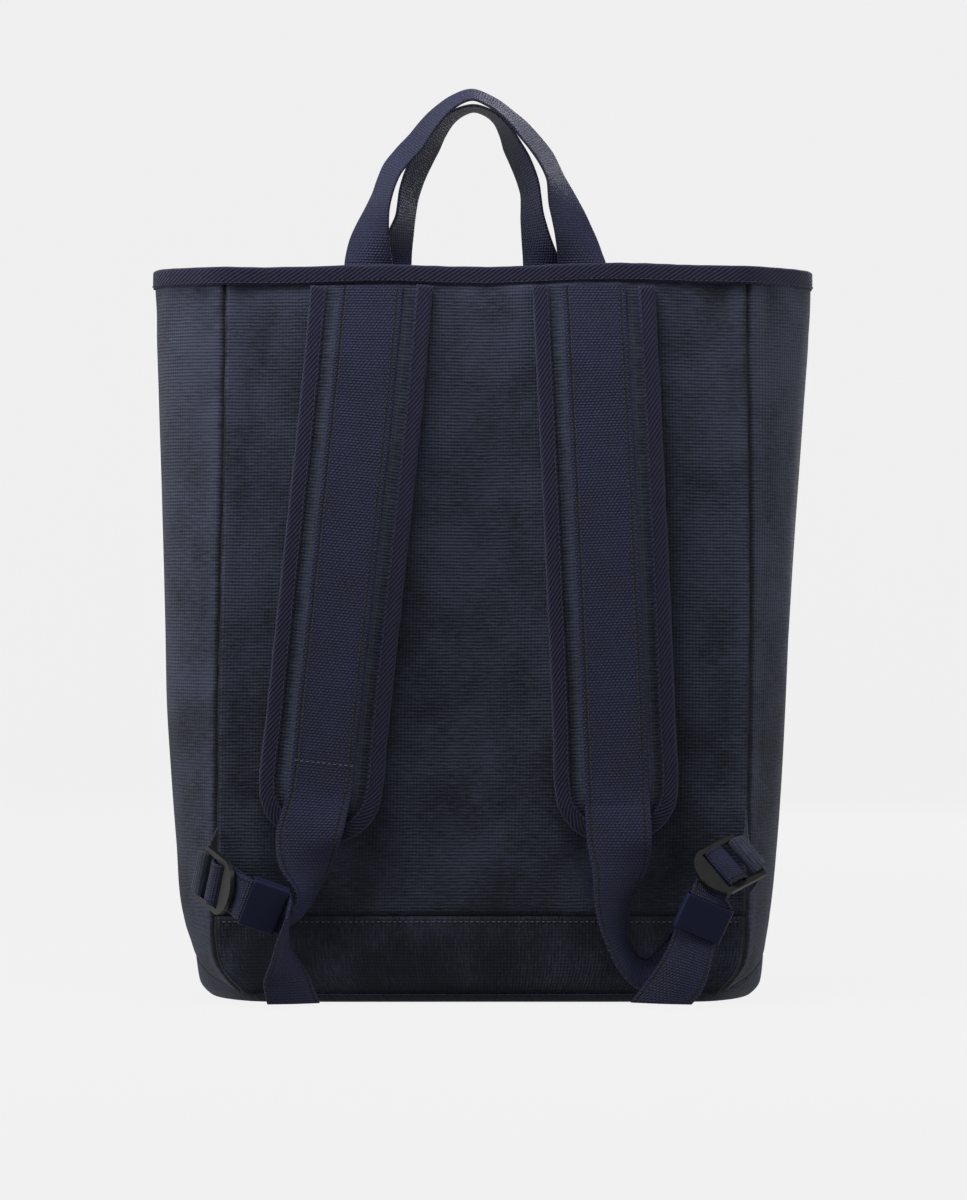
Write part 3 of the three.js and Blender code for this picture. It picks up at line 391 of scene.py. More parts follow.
def canvas_panel(name, node, columns, way, seed, tall_folds=1.0, worn=0.0):
    """One panel of the bag, from its packed wall: rolled in at its seams, puckered beside them, and
    slack between them. Worn is above 0 for a panel with more of its dye gone. Its colour is painted
    darker in the seam grooves, the turned foot, the fold hollows and towards the foot, and paler on
    fold crests and towards the rim, as painted shade and light."""
    outer, inner = facing(packed_rows(node, columns), way)
    middle = (outer + inner) / 2
    if np.dot(np.cross(middle[0, 1] - middle[0, 0], middle[1, 0] - middle[0, 0]), way) < 0:
        middle = middle[:, ::-1]
    down = lengths(middle[:, columns // 2])
    wide = lengths(middle[len(middle) // 2])
    at_down = places(down[-1], CANVAS_STEP, SEAM_ROLL)
    at_wide = places(wide[-1], CANVAS_STEP, SEAM_ROLL)
    grid = finer(middle, down, wide, at_down, at_wide)
    normal = unit(np.cross(np.gradient(grid, axis=1), np.gradient(grid, axis=0)))
    side = np.minimum(at_wide, wide[-1] - at_wide)[None, :]
    top = at_down[:, None]
    low = down[-1] - top
    puckers = ripple(grid, 11 * MM, seed) * np.exp(-side / (9 * MM)) * 0.9 * MM
    slack = ripple(grid, 85 * MM, seed + 3, (1, 1, 1.6 * tall_folds)) * 2.2 * MM
    creases = ripple(grid, 26 * MM, seed + 5, (1, 1, 2.5 * tall_folds)) * 0.7 * MM
    gathers = ripple(grid, 15 * MM, seed + 11, (1, 1, 2.4)) * np.exp(-top / (30 * MM)) * 3.0 * MM
    held = ramp(side, SIDE_HOLD) * ramp(low, FOOT_HOLD) * ramp(top, RIM_HOLD)
    groove, turned = swelling(side, 1.2 * MM), swelling(low, 2.2 * MM)
    ridge = swelling(side - 5.5 * MM, 3.5 * MM)
    roll = -1.6 * MM * groove - 0.8 * MM * turned + 0.3 * MM * ridge
    # Rubbed dye in random patches, then painted light and shade: paler towards the rim, darker towards
    # the foot, darker in fold hollows and paler on fold crests.
    rubbing_and_shade = 0.6 * ripple(grid, 40 * MM, seed + 7) + 0.5 * ripple(grid, 17 * MM, seed + 9)
    rubbing_and_shade += 0.6 * (grid[..., 2] / RIM_LEVEL - 0.5) + 0.35 * (gathers + creases) / MM
    # Painted shade: darker in the seam grooves and the turned-in foot, with some dye kept there too; the
    # ridge beside each seam is paler, as rubbed dye and painted highlight.
    wear_and_shade = worn + 0.3 * ridge - 1.8 * groove - 0.8 * turned + rubbing_and_shade
    lift = (slack + creases) * held + puckers * ramp(top, RIM_HOLD) + roll
    lift += gathers * ramp(top - GATHERS_FROM, GATHERS_RISE) * ramp(side, GATHERS_RISE)
    near = np.minimum(np.minimum(side, low), top)
    half = CANVAS_WALL / 2 * np.sqrt(1 - (1 - ramp(near, CANVAS_WALL)) ** 2 * 0.75)
    outside = grid + normal * (lift + half)[..., None]
    inside = grid + normal * (lift - half)[..., None]
    rim_rows[name], panel_grids[name] = middle[0], (outside, normal, at_down, at_wide)
    u, v = -at_down, at_wide - wide[-1] / 2
    return cloth_shell(f"canvas_{name}", outside, inside, u, v, canvas, [node], wear_and_shade)


canvas_panel("back", "back_panel", 13, (0, -1, 0), 11)
canvas_panel("front", "front_panel", 11, (0, 1, 0), 23)
canvas_panel("side_left", "gusset_left", 9, (-1, 0, 0), 37, tall_folds=1.8)
canvas_panel("side_right", "gusset_right", 9, (1, 0, 0), 41, tall_folds=1.8)


# Lower band: a strip of the same canvas, its weave turned a quarter turn, folded under at the top and
# topstitched over the foot of the back panel with a row of contrasting thread.
band = canvas_panel("lower_band", "back_lower_band", 13, (0, -1, 0), 53, worn=-0.3)
weave_map = band.data.uv_layers["cloth"].data
lengthways = np.empty(2 * len(weave_map))
weave_map.foreach_get("uv", lengthways)
weave_map.foreach_set("uv", lengthways.reshape(-1, 2)[:, ::-1].ravel())


# Base: one piece of the same canvas, turned up all round as a shallow tray and sewn to the panels. It
# has a soft roll where it meets the floor.
TRAY_TURN_UP = 4 * MM


def softened(node, levels, crease=0.75):
    """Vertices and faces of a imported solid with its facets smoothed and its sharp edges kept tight."""
    sharp = math.radians(50)
    mesh = bmesh.new()
    mesh.from_mesh(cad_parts[node].data)
    bmesh.ops.remove_doubles(mesh, verts=mesh.verts, dist=SAME_POINT)
    bmesh.ops.join_triangles(mesh, faces=mesh.faces, angle_face_threshold=math.radians(40),
                             angle_shape_threshold=math.radians(60))
    layer = mesh.edges.layers.float.new("crease_edge")
    for edge in mesh.edges:
        if len(edge.link_faces) == 2 and edge.calc_face_angle(0) > sharp:
            edge[layer] = crease
    plain = bpy.data.meshes.new("softening")
    mesh.to_mesh(plain)
    mesh.free()
    holder = bpy.data.objects.new("softening", plain)
    scene.collection.objects.link(holder)
    smooth = holder.modifiers.new("smooth", "SUBSURF")
    smooth.levels = smooth.render_levels = levels
    bpy.context.view_layer.update()
    made = bpy.data.meshes.new_from_object(holder.evaluated_get(bpy.context.evaluated_depsgraph_get()))
    bpy.data.objects.remove(holder)
    vertices = np.array([v.co for v in made.vertices])
    return vertices, [list(f.vertices) for f in made.polygons]


vertices, faces = softened("base_panel", 2)
above = ramp(vertices[:, 2], TRAY_TURN_UP)
vertices[:, :2] *= 1 + (0.002 * ripple(vertices, 14 * MM, 61) * above)[:, None]
around = np.stack([vertices[:, 0] - vertices[:, 1], vertices[:, 2] + vertices[:, 1]], axis=1)
new_piece("canvas_base", vertices, faces, around, canvas, ["base_panel"])


# Rim binding: 24 mm cotton twill tape, folded in half over the raw top edge and sewn through. Its
# diagonal ribs cross the fold and catch the light.
TAPE, FOLD_RISE = 1.2 * MM, 1.6 * MM
TAPE_STEP = 2.0 * MM
RIM_HALF, RIM_REACH = 1.35 * MM, 9.4 * MM
RIM_SEWN = 8.0 * MM

# Ribs that cross the tape at 35 degrees to its length, each a bundle of threads with a soft sheen, dyed
# slightly redder than the canvas and rubbed paler on the crests. Along the woven edge the colour is
# painted paler, a painted highlight on the raised edge. The real ribs are 1 mm apart; they are drawn
# at 2 mm so that they show.
twill, tree, shader = new_material("cotton_twill_tape")
RIB, RIB_SLANT = 2.0 * MM, math.radians(35)
TAPE_EDGE, EDGE_BLUR = 11.7 * MM, 0.3 * MM
cloth = add_node(tree, "ShaderNodeUVMap", uv_map="cloth")
wander = add_node(tree, "ShaderNodeTexNoise", {"Vector": cloth, "Scale": 1 / (9 * MM), "Detail": 3.0})
turn = (-2 * math.pi * math.sin(RIB_SLANT) / RIB, 2 * math.pi * math.cos(RIB_SLANT) / RIB, 0)
slant = add_node(tree, "ShaderNodeVectorMath", {0: cloth, 1: turn}, operation="DOT_PRODUCT")
phase = add_node(tree, "ShaderNodeMath",
                 {0: wander, 1: 3.0, 2: slant.outputs["Value"]}, operation="MULTIPLY_ADD")
across = add_node(tree, "ShaderNodeSeparateXYZ", {0: cloth})
reach = add_node(tree, "ShaderNodeMath", {0: across.outputs[1]}, operation="ABSOLUTE")
woven_edge_highlight = add_node(tree, "ShaderNodeMapRange", {
    "Value": reach, "From Min": TAPE_EDGE - EDGE_BLUR, "From Max": TAPE_EDGE + EDGE_BLUR})
wave = add_node(tree, "ShaderNodeMath", {0: phase}, operation="SINE")
rib = add_node(tree, "ShaderNodeMath", {0: wave, 1: 0.5, 2: 0.5}, operation="MULTIPLY_ADD")
fibres = add_node(tree, "ShaderNodeTexNoise", {"Vector": cloth, "Scale": 1 / (0.9 * MM), "Detail": 4.0})
tone = add_node(tree, "ShaderNodeMath", {0: fibres, 1: 0.5, 2: -0.1}, operation="MULTIPLY_ADD")
tone = add_node(tree, "ShaderNodeMath", {0: rib, 1: 0.75, 2: tone}, operation="MULTIPLY_ADD")
# Painted highlight: paler along the raised woven edge of the tape.
tone = add_node(tree, "ShaderNodeMath", {0: woven_edge_highlight, 1: 0.5, 2: tone}, operation="MULTIPLY_ADD")
dye = add_node(tree, "ShaderNodeValToRGB", {"Fac": tone})
dye.color_ramp.elements[0].position, dye.color_ramp.elements[0].color = 0.05, linear("#080810")
dye.color_ramp.elements[1].position, dye.color_ramp.elements[1].color = 0.95, linear("#2c2c4a")
height = add_node(tree, "ShaderNodeMath", {0: fibres, 1: 0.3, 2: rib}, operation="MULTIPLY_ADD")
relief = add_node(tree, "ShaderNodeBump", {"Height": height, "Strength": 0.7, "Distance": 0.45 * MM})
tree.links.new(dye.outputs[0], shader.inputs["Base Color"])
tree.links.new(relief.outputs[0], shader.inputs["Normal"])
shader.inputs["Roughness"].default_value = 0.78
shader.inputs["Specular IOR Level"].default_value = 0.15
shader.inputs["Sheen Weight"].default_value = 0.08


def face_outward(piece):
    """Turns every face of a closed piece outward."""
    mesh = bmesh.new()
    mesh.from_mesh(piece.data)
    bmesh.ops.recalc_face_normals(mesh, faces=mesh.faces)
    mesh.to_mesh(piece.data)
    mesh.free()
    piece.data.shade_smooth()


def folded_tape(name, node, path, outward, up, section, closed=False):
    """Tape folded round an edge. The path follows the edge, and section is a row of places, each a
    distance outward and a distance up from it, round the closed outline of the tape."""
    wrap = 3 if closed else 0
    if closed:
        path, outward, up = (np.concatenate([row[-wrap:], row, row[:wrap + 1]])
                             for row in (path, outward, up))
    at = lengths(path)
    first, last = (at[wrap], at[-wrap - 1]) if closed else (0, at[-1])
    along = np.linspace(first, last, int((last - first) / TAPE_STEP) + 1)
    if closed:
        along = along[:-1]
    p, o, n = spline(path, at, along), unit(spline(outward, at, along)), unit(spline(up, at, along))
    outline = np.array(section)
    round_at = lengths(outline)
    rows, columns = len(along), len(section)
    points = p[:, None] + o[:, None] * outline[None, :, :1] + n[:, None] * outline[None, :, 1:]
    swell = ripple(points, 9 * MM, len(name)) * 0.25 * MM
    points = points + unit(points - p[:, None]) * swell[..., None]
    i, j = np.meshgrid(np.arange(rows if closed else rows - 1), np.arange(columns), indexing="ij")
    a, b = i.ravel() * columns, ((i.ravel() + 1) % rows) * columns
    j, k = j.ravel(), (j.ravel() + 1) % columns
    faces = np.stack([a + j, a + k, b + k, b + j], axis=1).tolist()
    if not closed:
        faces += [list(range(columns))[::-1], [(rows - 1) * columns + c for c in range(columns)]]
    fold = round_at[np.argmax(outline[:, 1])]
    uv = np.stack(np.meshgrid(along, round_at - fold, indexing="ij"), axis=-1).reshape(-1, 2)
    face_outward(new_piece(name, points.reshape(-1, 3), faces, uv, twill, [node]))


def tape_section(half, reach):
    """Outline of a folded tape: over an edge of that half thickness, with legs that reach down it."""
    outer, edge_rounding = half + TAPE, 0.25 * TAPE
    legs = np.linspace(0, 1, 6)
    skin = [(outer - edge_rounding * (t > 0.9), -reach * t) for t in legs[:0:-1]]
    skin += [(outer * math.cos(a), FOLD_RISE * math.sin(a)) for a in np.linspace(0, math.pi, 9)]
    skin += [(-outer + edge_rounding * (t > 0.9), -reach * t) for t in legs[1:]]
    lining = [(-half, -reach * t) for t in legs[:0:-1]]
    lining += [(half * math.cos(a), (FOLD_RISE - TAPE) * math.sin(a))
               for a in np.linspace(math.pi, 0, 5)]
    lining += [(half, -reach * t) for t in legs[1:]]
    return skin + lining


THREAD_NAVY, THREAD_PALE = "#181b32", "#67616c"


def spun_thread(name, hexcode):
    """Spun polyester sewing thread: matt, with a fine twist that shows as pale flecks."""
    made, tree, shader = new_material(name)
    place = add_node(tree, "ShaderNodeTexCoord")
    twist = add_node(tree, "ShaderNodeTexNoise",
                     {"Vector": place.outputs["Object"], "Scale": 1 / (0.4 * MM)})
    dark = [c * 0.6 for c in linear(hexcode)[:3]] + [1]
    tone = add_node(tree, "ShaderNodeMix", {0: twist, 6: dark, 7: linear(hexcode)}, data_type="RGBA")
    tree.links.new(tone.outputs[2], shader.inputs["Base Color"])
    shader.inputs["Roughness"].default_value = 0.7
    return made


navy_thread = spun_thread("navy_sewing_thread", THREAD_NAVY)
pale_thread = spun_thread("pale_sewing_thread", THREAD_PALE)


# Along a stitch: the share of its length, and the height over the cloth and the half width there, both
# as shares of its thickness.
STITCH_RINGS = ((0, -0.35, 0.35), (0.3, 0.3, 0.5), (0.7, 0.3, 0.5), (1, -0.35, 0.35))
STITCH_SIDES = 6


def stitched(name, runs, material, pitch=3.0 * MM, length=2.3 * MM, thick=0.55 * MM):
    """Rows of stitches in one mesh. Each run is a row of points on the cloth and the cloth's normals
    there; every stitch dips into the cloth at both its ends."""
    solid, sides, first = [], [], 0
    count = STITCH_SIDES * len(STITCH_RINGS)
    for points, outward in runs:
        at = lengths(points)
        starts = np.arange(pitch / 2, at[-1] - length, pitch)
        rings = []
        for share, dip, width in STITCH_RINGS:
            where = starts + share * length
            centre, n = spline(points, at, where), unit(spline(outward, at, where))
            ahead = unit(spline(points, at, where + 0.1 * MM) - spline(points, at, where - 0.1 * MM))
            aside = np.cross(n, ahead)
            for a in np.linspace(0, 2 * math.pi, STITCH_SIDES + 1)[:-1]:
                rings.append(centre + n * thick * (dip + width * math.sin(a))
                             + aside * thick * width * math.cos(a))
        solid.append(np.stack(rings, axis=1).reshape(-1, 3))
        stitch = first + np.arange(len(starts))[:, None] * count
        for k in range(0, count - STITCH_SIDES, STITCH_SIDES):
            for a, b in zip(range(k, k + STITCH_SIDES), [*range(k + 1, k + STITCH_SIDES), k]):
                sides.append(stitch + np.array([a, b, b + STITCH_SIDES, a + STITCH_SIDES]))
        first += count * len(starts)
    solid, sides = np.concatenate(solid), np.concatenate(sides)
    new_piece(name, solid, sides.tolist(), solid[:, [2, 0]], material)


rim_points = [rim_rows[key][::-1] for key in ("back", "side_right", "front", "side_left")]
rim_path = []
for row, following in zip(rim_points, rim_points[1:] + rim_points[:1]):
    rim_path += [*row[1:-1], (row[-1] + following[0]) / 2]
rim_path = np.array(rim_path)
ahead = unit(np.roll(rim_path, -1, axis=0) - np.roll(rim_path, 1, axis=0))
rim_out = unit(np.stack([ahead[:, 1], -ahead[:, 0], 0 * ahead[:, 0]], axis=1))
rim_up = np.tile([0.0, 0.0, 1.0], (len(rim_path), 1))
section = tape_section(RIM_HALF, RIM_REACH)
folded_tape("rim_tape", "rim_binding", rim_path, rim_out, rim_up, section, closed=True)
rim_sides = []
for way in (1, -1):
    line = rim_path + way * rim_out * (RIM_HALF + TAPE) - rim_up * RIM_SEWN
    rim_sides.append([np.concatenate([row, row[:1]]) for row in (line, way * rim_out)])
stitched("rim_stitching", rim_sides, navy_thread)


# Carry handles: two arches of 30 mm cotton webbing, their ends sewn inside the rim. They stand up by
# themselves, twisting a little where they bend.
WEBBING = 1.7 * MM
HANDLE_WIDE = 30 * MM
STRIP_STEP_ALONG, STRIP_STEP_ACROSS = 1.9 * MM, 2.6 * MM

# Tight coarse weave with raised picks 1.7 mm apart, bluer than the canvas because it takes the dye
# better, with a faint sheen on the crests. A pressed groove runs along each side of 38 mm webbing,
# just inside its woven edge, its colour painted dark there as shade in the groove.
webbing, tree, shader = new_material("cotton_webbing")
EDGE_GROOVE = 15.6 * MM
cloth, along, aside = waves(tree, 3.4 * MM, 2.3 * MM, 0.4 * MM)
checks = add_node(tree, "ShaderNodeMath", {0: along, 1: aside}, operation="MULTIPLY")
weave = add_node(tree, "ShaderNodeMath", {0: checks, 1: 0.3, 2: 0.5}, operation="MULTIPLY_ADD")
picks = add_node(tree, "ShaderNodeMath", {0: along, 1: along}, operation="MULTIPLY")
weave = add_node(tree, "ShaderNodeMath", {0: picks, 1: 0.4, 2: weave}, operation="MULTIPLY_ADD")
weave = add_node(tree, "ShaderNodeMath", {0: weave, 1: 0.2}, operation="SUBTRACT")
fibres = add_node(tree, "ShaderNodeTexNoise", {"Vector": cloth, "Scale": 1 / (0.8 * MM), "Detail": 4.0})
clouds = add_node(tree, "ShaderNodeTexNoise", {"Vector": cloth, "Scale": 1 / (28 * MM), "Detail": 3.0})
across = add_node(tree, "ShaderNodeSeparateXYZ", {0: cloth})
width = add_node(tree, "ShaderNodeMath", {0: across.outputs[1]}, operation="ABSOLUTE")
groove = add_node(tree, "ShaderNodeMath", {0: width, 1: EDGE_GROOVE}, operation="SUBTRACT")
groove = add_node(tree, "ShaderNodeMath", {0: groove}, operation="ABSOLUTE")
pressed_and_shaded = add_node(tree, "ShaderNodeMapRange", {"Value": groove, "From Max": 1.1 * MM})
tone = add_node(tree, "ShaderNodeMath", {0: fibres, 1: 0.6, 2: -0.4}, operation="MULTIPLY_ADD")
tone = add_node(tree, "ShaderNodeMath", {0: clouds, 1: 0.5, 2: tone}, operation="MULTIPLY_ADD")
tone = add_node(tree, "ShaderNodeMath", {0: weave, 1: 1.0, 2: tone}, operation="MULTIPLY_ADD")
# Painted shade: the colour goes dark in the pressed grooves.
tone = add_node(tree, "ShaderNodeMath", {0: tone, 1: pressed_and_shaded}, operation="MULTIPLY")
dye = add_node(tree, "ShaderNodeValToRGB", {"Fac": tone})
dye.color_ramp.elements[0].position, dye.color_ramp.elements[0].color = 0.3, linear("#03040a")
dye.color_ramp.elements[1].position, dye.color_ramp.elements[1].color = 0.95, linear("#23274a")
height = add_node(tree, "ShaderNodeMath", {0: fibres, 1: 0.35, 2: weave}, operation="MULTIPLY_ADD")
height = add_node(tree, "ShaderNodeMath", {0: pressed_and_shaded, 1: 0.8, 2: height}, operation="MULTIPLY_ADD")
relief = add_node(tree, "ShaderNodeBump", {"Height": height, "Strength": 1.0, "Distance": 0.7 * MM})
tree.links.new(dye.outputs[0], shader.inputs["Base Color"])
tree.links.new(relief.outputs[0], shader.inputs["Normal"])
shader.inputs["Roughness"].default_value = 0.6
shader.inputs["Specular IOR Level"].default_value = 0.2
shader.inputs["Sheen Weight"].default_value = 0.05
shader.inputs["Sheen Tint"].default_value = linear("#8e96c8")

woven_strips = {}


def strip(name, node, rank, way, flat_width, material, seed, thick=WEBBING, crease=None):
    """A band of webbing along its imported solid, with soft edges and a slightly uneven lie. A crease is
    a row of heights and how far the first half of the band stands off at each."""
    one, two = packed_rows(node, 5, rank)
    middle = (one + two) / 2
    along, wide = lengths(middle[:, 2]), np.linspace(0, flat_width, 5)
    at_along = places(along[-1], STRIP_STEP_ALONG, thick)
    at_wide = places(flat_width, STRIP_STEP_ACROSS, thick * 0.8)
    grid = finer(middle, along, wide, at_along, at_wide)
    normal = unit(np.cross(np.gradient(grid, axis=1), np.gradient(grid, axis=0)))
    if np.dot(normal[5, 5], way) < 0:
        normal = -normal
    across = unit(grid[:, -1:] - grid[:, :1])
    share = (2 * at_wide / flat_width - 1)[None, :, None]
    wobble = ripple(grid[:, :1], 16 * MM, seed) * 0.35 * MM
    grid = grid + across * share * wobble[..., None]
    lift = ripple(grid, 13 * MM, seed + 2) * 0.22 * MM
    if crease:
        lift += np.interp(grid[..., 2], *crease) * (at_along < along[-1] / 2)[:, None]
    near = np.minimum(np.minimum(at_wide, flat_width - at_wide)[None, :],
                      np.minimum(at_along, along[-1] - at_along)[:, None])
    half = thick / 2 * np.sqrt(1 - (1 - ramp(near, 0.8 * thick)) ** 2 * 0.9)
    outside = grid + normal * (lift + half)[..., None]
    inside = grid + normal * (lift - half)[..., None]
    woven_strips[name] = (outside, normal, at_along, at_wide)
    face_outward(cloth_shell(name, outside, inside, at_along, at_wide - flat_width / 2,
                             material, [node]))


def left_foot(points):
    """Ranks first the end of a handle that goes down on its left side."""
    return points[:, 2] + (points[:, 0] > -0.005) * 1.0


strip("handle_near", "handle_back", left_foot, (0, -1, 0), HANDLE_WIDE, webbing, 71)
strip("handle_far", "handle_front", left_foot, (0, 1, 0), HANDLE_WIDE, webbing, 73)


# Padded straps: two layers of canvas over 6 mm foam, flat where the webbing is sewn down the middle
# and puffed in the two channels beside it and over the back.
PAD_STEP, PAD_ROLL = 3.0 * MM, 1.2 * MM
# The tape grips the pad's edge and the webbing its middle: how far each reaches, and over what length
# its grip fades.
TAPE_GRIP, TAPE_FADE = 8.5 * MM, 5 * MM
WEBBING_GRIP, WEBBING_FADE = 18.5 * MM, 3 * MM
UNSEWN_FOOT = 20 * MM
FILL_PRESSURE, FILL_FRAMES, FILL_SLACK = 4.0, 20, 0.06
FRONT_PUFF, REAR_PUFF = 1.6 * MM, 2.2 * MM


def puffed_pad(name, node):
    """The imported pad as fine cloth, filled out by cloth simulation and held where the webbing and the
    tape grip it."""
    front, rear = facing(packed_rows(node, 9), (0, -1, 0))
    middle = (front + rear) / 2
    down, wide = lengths(middle[:, 4]), lengths(middle[len(middle) // 2])
    at_down, at_wide = places(down[-1], PAD_STEP, PAD_ROLL), places(wide[-1], PAD_STEP, PAD_ROLL)
    outside, inside = (finer(side, down, wide, at_down, at_wide) for side in (front, rear))
    u, v = -at_down, at_wide - wide[-1] / 2
    made = cloth_shell(name, outside, inside, u, v, canvas, [node])
    half = np.linalg.norm(outside[:, -1] - outside[:, 0], axis=1)[:, None] / 2
    low = (down[-1] - at_down)[:, None]
    aside = half * abs(2 * at_wide / wide[-1] - 1)
    taped = 1 - ramp(np.minimum(half - aside, low) - TAPE_GRIP, TAPE_FADE)
    sewn = (1 - ramp(aside - WEBBING_GRIP, WEBBING_FADE)) * (low > UNSEWN_FOOT)
    held = np.concatenate([np.maximum(taped, sewn).ravel(), taped.ravel()])
    start = np.concatenate([outside.reshape(-1, 3), inside.reshape(-1, 3)])
    centre = np.tile((outside + inside).reshape(-1, 3) / 2, (2, 1))
    slack = start.copy()
    slack[:, 1] += (centre[:, 1] - start[:, 1]) * FILL_SLACK
    made.data.vertices.foreach_set("co", slack.astype(np.float32).ravel())
    group = made.vertex_groups.new(name="held")
    for index, weight in enumerate(held):
        group.add([index], float(weight), "REPLACE")
    filling = made.modifiers.new("filling", "CLOTH")
    filling.settings.use_pressure = True
    filling.settings.uniform_pressure_force = FILL_PRESSURE
    filling.settings.effector_weights.gravity = 0.0
    filling.settings.vertex_group_mass = "held"
    filling.settings.mass = 0.3
    filling.point_cache.frame_start, filling.point_cache.frame_end = 1, FILL_FRAMES
    for step in range(1, FILL_FRAMES + 1):
        scene.frame_set(step)
    done = made.evaluated_get(bpy.context.evaluated_depsgraph_get()).data
    moved = np.array([v.co for v in done.vertices]) - start
    size = np.linalg.norm(moved, axis=1, keepdims=True)
    cap = np.repeat([FRONT_PUFF, REAR_PUFF], len(start) // 2)[:, None] * (1 - held)[:, None]
    start = start + moved * np.minimum(1, cap / np.maximum(size, 1e-9))
    made.modifiers.clear()
    made.vertex_groups.clear()
    scene.frame_set(1)
    start[:, 1] += ripple(start, 12 * MM, 83) * 0.35 * MM * (1 - held)
    made.data.vertices.foreach_set("co", start.astype(np.float32).ravel())
    made.data.update()
    return front, rear


pad_sides = {name: puffed_pad(f"pad_{name}", f"strap_pad_{name}") for name in ("left", "right")}


# Tape of the padded straps: the same twill folded round both sides and the rounded lower end, its raw
# ends caught in the rim seam.
PAD_HALF, PAD_TAPE_REACH = 2.35 * MM, 8.4 * MM
PAD_TAPE_SEWN, PAD_STITCH_OUT = 7.2 * MM, 3.5 * MM
pad_lines = []
for name, (front, rear) in pad_sides.items():
    middle, face = (front + rear) / 2, unit((front - rear)[:, 4])
    if middle[0, 0, 0] > middle[0, -1, 0]:
        middle = middle[:, ::-1]
    path = np.concatenate([middle[:, 0], middle[::-1, -1]])
    toward = np.concatenate([face, face[::-1]])
    outward = unit(np.cross(unit(np.gradient(path, axis=0)), toward))
    if outward[0, 0] > 0:
        outward = -outward
    section = tape_section(PAD_HALF, PAD_TAPE_REACH)
    folded_tape(f"pad_tape_{name}", f"pad_binding_{name}", path, toward, outward, section)
    pad_lines.append((path - outward * PAD_TAPE_SEWN + toward * PAD_STITCH_OUT, toward))
stitched("pad_tape_stitching", pad_lines, navy_thread)


# Shoulder webbing: 38 mm cotton webbing sewn down the middle of each pad, then loose to the keeper,
# over the middle bar of the buckle and back out as a tail. Each is creased where it leaves its pad,
# the right one more sharply.
STRAP_WIDE, STRAP_INSET = 38 * MM, 3.2 * MM
CREASE_LEVELS = [0.075, 0.099, 0.119, 0.1215, 0.126]
SEWN_DOWN_TO, FIRST_RUN = 0.128, 0.33
for name, out, seed in (("left", 1.5 * MM, 91), ("right", 4.0 * MM, 97)):
    strip(f"shoulder_webbing_{name}", f"strap_webbing_{name}", top_end, (0, -1, 0), STRAP_WIDE,
          webbing, seed, crease=(CREASE_LEVELS, [0, out, -0.15 * out, 0, 0]))

seams = []
for name in ("left", "right"):
    outside, normal, at_along, at_wide = woven_strips[f"shoulder_webbing_{name}"]
    sewn = (outside[:, 0, 2] > SEWN_DOWN_TO) & (at_along < FIRST_RUN)
    for inset in (STRAP_INSET, STRAP_WIDE - STRAP_INSET):
        k = np.argmin(abs(at_wide - inset))
        seams.append((outside[sewn, k] - normal[sewn, k] * 0.1 * MM, normal[sewn, k]))
stitched("shoulder_webbing_stitching", seams, navy_thread)

# Pale thread: a row across the left webbing at the foot of its pad, and the lower band's topstitching.
TACK_LEVEL, BAND_SEAM = 0.124, 3.0 * MM
outside, normal, at_along, at_wide = woven_strips["shoulder_webbing_left"]
level = np.argmin(abs(outside[:len(outside) // 2, 12, 2] - TACK_LEVEL))
tack = [(outside[level, 2:-2], normal[level, 2:-2])]
outside, normal, at_down, at_wide = panel_grids["lower_band"]
level = np.argmin(abs(at_down - BAND_SEAM))
tack.append((outside[level, 4:-4], normal[level, 4:-4]))
stitched("pale_topstitching", tack, pale_thread, pitch=3.3 * MM, length=2.0 * MM)


# Side tabs: triangles of the same canvas folded double, caught in the side seams, each round the outer
# bar of its buckle.
TAB_WIDE, TAB_THICK = 30 * MM, 1.6 * MM
SAME_LEVEL = 0.08 * MM


def inner_end(side):
    """Ranks first the end of a tab that is nearer the middle of the bag."""
    def rank(points):
        score = np.ones(len(points))
        for level in np.linspace(points[:, 2].min(), points[:, 2].max(), 5):
            here = np.where(abs(points[:, 2] - level) < SAME_LEVEL)[0]
            score[here[np.argsort(side * points[here, 0])[:2]]] = 0
        return score
    return rank


for side, name in ((-1, "left"), (1, "right")):
    strip(f"tab_{name}", f"side_tab_{name}", inner_end(side), (0, -1, 0), TAB_WIDE,
          canvas, 101, thick=TAB_THICK)


# Ladder-lock buckles: moulded acetal with a D-shaped thumb lip, matt from the mould, with softened
# edges. The webbing runs round the middle bar and the side tab round the outer one.
EDGE_ROUND = 0.6 * MM

# Fine grit from a spark-eroded mould, and slightly scuffed, paler patches. The grit is drawn at 0.7 mm,
# coarser than the real one, so that it shows.
acetal, tree, shader = new_material("moulded_black_acetal")
place = add_node(tree, "ShaderNodeTexCoord")
grit = add_node(tree, "ShaderNodeTexNoise",
                {"Vector": place.outputs["Object"], "Scale": 1 / (0.7 * MM), "Detail": 3.0})
scuffs = add_node(tree, "ShaderNodeTexNoise",
                  {"Vector": place.outputs["Object"], "Scale": 1 / (6 * MM), "Detail": 5.0})
tone = add_node(tree, "ShaderNodeValToRGB", {"Fac": scuffs})
tone.color_ramp.elements[0].position, tone.color_ramp.elements[0].color = 0.4, linear("#060605")
tone.color_ramp.elements[1].position, tone.color_ramp.elements[1].color = 0.75, linear("#0c0c0b")
rough = add_node(tree, "ShaderNodeMapRange", {"Value": scuffs, "To Min": 0.38, "To Max": 0.6})
relief = add_node(tree, "ShaderNodeBump", {"Height": grit, "Strength": 0.25, "Distance": 0.1 * MM})
tree.links.new(tone.outputs[0], shader.inputs["Base Color"])
tree.links.new(rough.outputs[0], shader.inputs["Roughness"])
tree.links.new(relief.outputs[0], shader.inputs["Normal"])
shader.inputs["Specular IOR Level"].default_value = 0.3
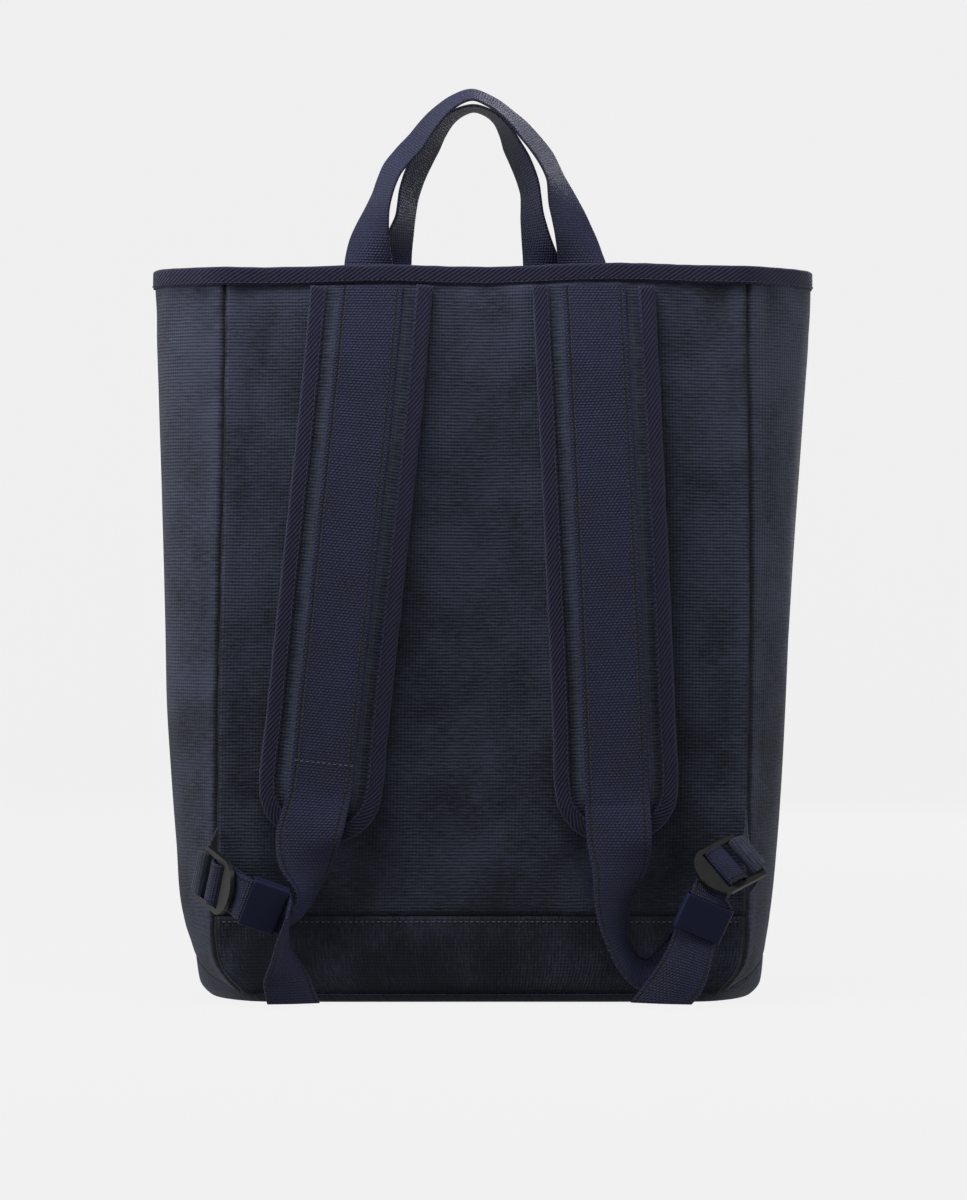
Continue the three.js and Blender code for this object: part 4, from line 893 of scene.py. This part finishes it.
for name in ("buckle_left", "buckle_right"):
    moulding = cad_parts[name]
    moulding.data.materials.clear()
    moulding.data.materials.append(acetal)
    weld = moulding.modifiers.new("weld", "WELD")
    weld.merge_threshold = SAME_POINT
    rounded = moulding.modifiers.new("rounded", "BEVEL")
    rounded.width, rounded.segments = EDGE_ROUND, 3
    rounded.limit_method, rounded.angle_limit = "ANGLE", math.radians(35)
    rounded.harden_normals = True


# Keepers: short sleeves of smooth woven elastic, sewn into a loop, that hold the two runs of webbing
# together.

# Fine ribs 1.2 mm apart along the band, tight and smoother than the webbing, and a purer blue.
elastic, tree, shader = new_material("smooth_woven_elastic")
cloth = add_node(tree, "ShaderNodeUVMap", uv_map="cloth")
turns = add_node(tree, "ShaderNodeSeparateXYZ", {0: cloth})
phase = add_node(tree, "ShaderNodeMath",
                 {0: turns.outputs[1], 1: 2 * math.pi / (1.2 * MM)}, operation="MULTIPLY")
rib = add_node(tree, "ShaderNodeMath", {0: phase}, operation="SINE")
tone = add_node(tree, "ShaderNodeMapRange", {"Value": rib, "From Min": -1.0})
dye = add_node(tree, "ShaderNodeMix",
               {0: tone, 6: linear("#0a0c1e"), 7: linear("#171c40")}, data_type="RGBA")
relief = add_node(tree, "ShaderNodeBump", {"Height": rib, "Strength": 0.3, "Distance": 0.15 * MM})
tree.links.new(dye.outputs[2], shader.inputs["Base Color"])
tree.links.new(relief.outputs[0], shader.inputs["Normal"])
shader.inputs["Roughness"].default_value = 0.6
shader.inputs["Specular IOR Level"].default_value = 0.15
# The way that each sleeve's ribs run.
for name, ribs in {"left": (0.93, 0.15, -0.33), "right": (-0.4, 0.2, -0.9)}.items():
    vertices, faces = softened(f"keeper_{name}", 3, crease=0.5)
    ribs = unit(np.array(ribs))
    aside = unit(np.cross(ribs, (0.0, 1.0, 0.0)))
    uv = (vertices - vertices.mean(0)) @ np.stack([ribs, aside], axis=1)
    new_piece(f"keeper_sleeve_{name}", vertices, faces, uv, elastic, [f"keeper_{name}"])
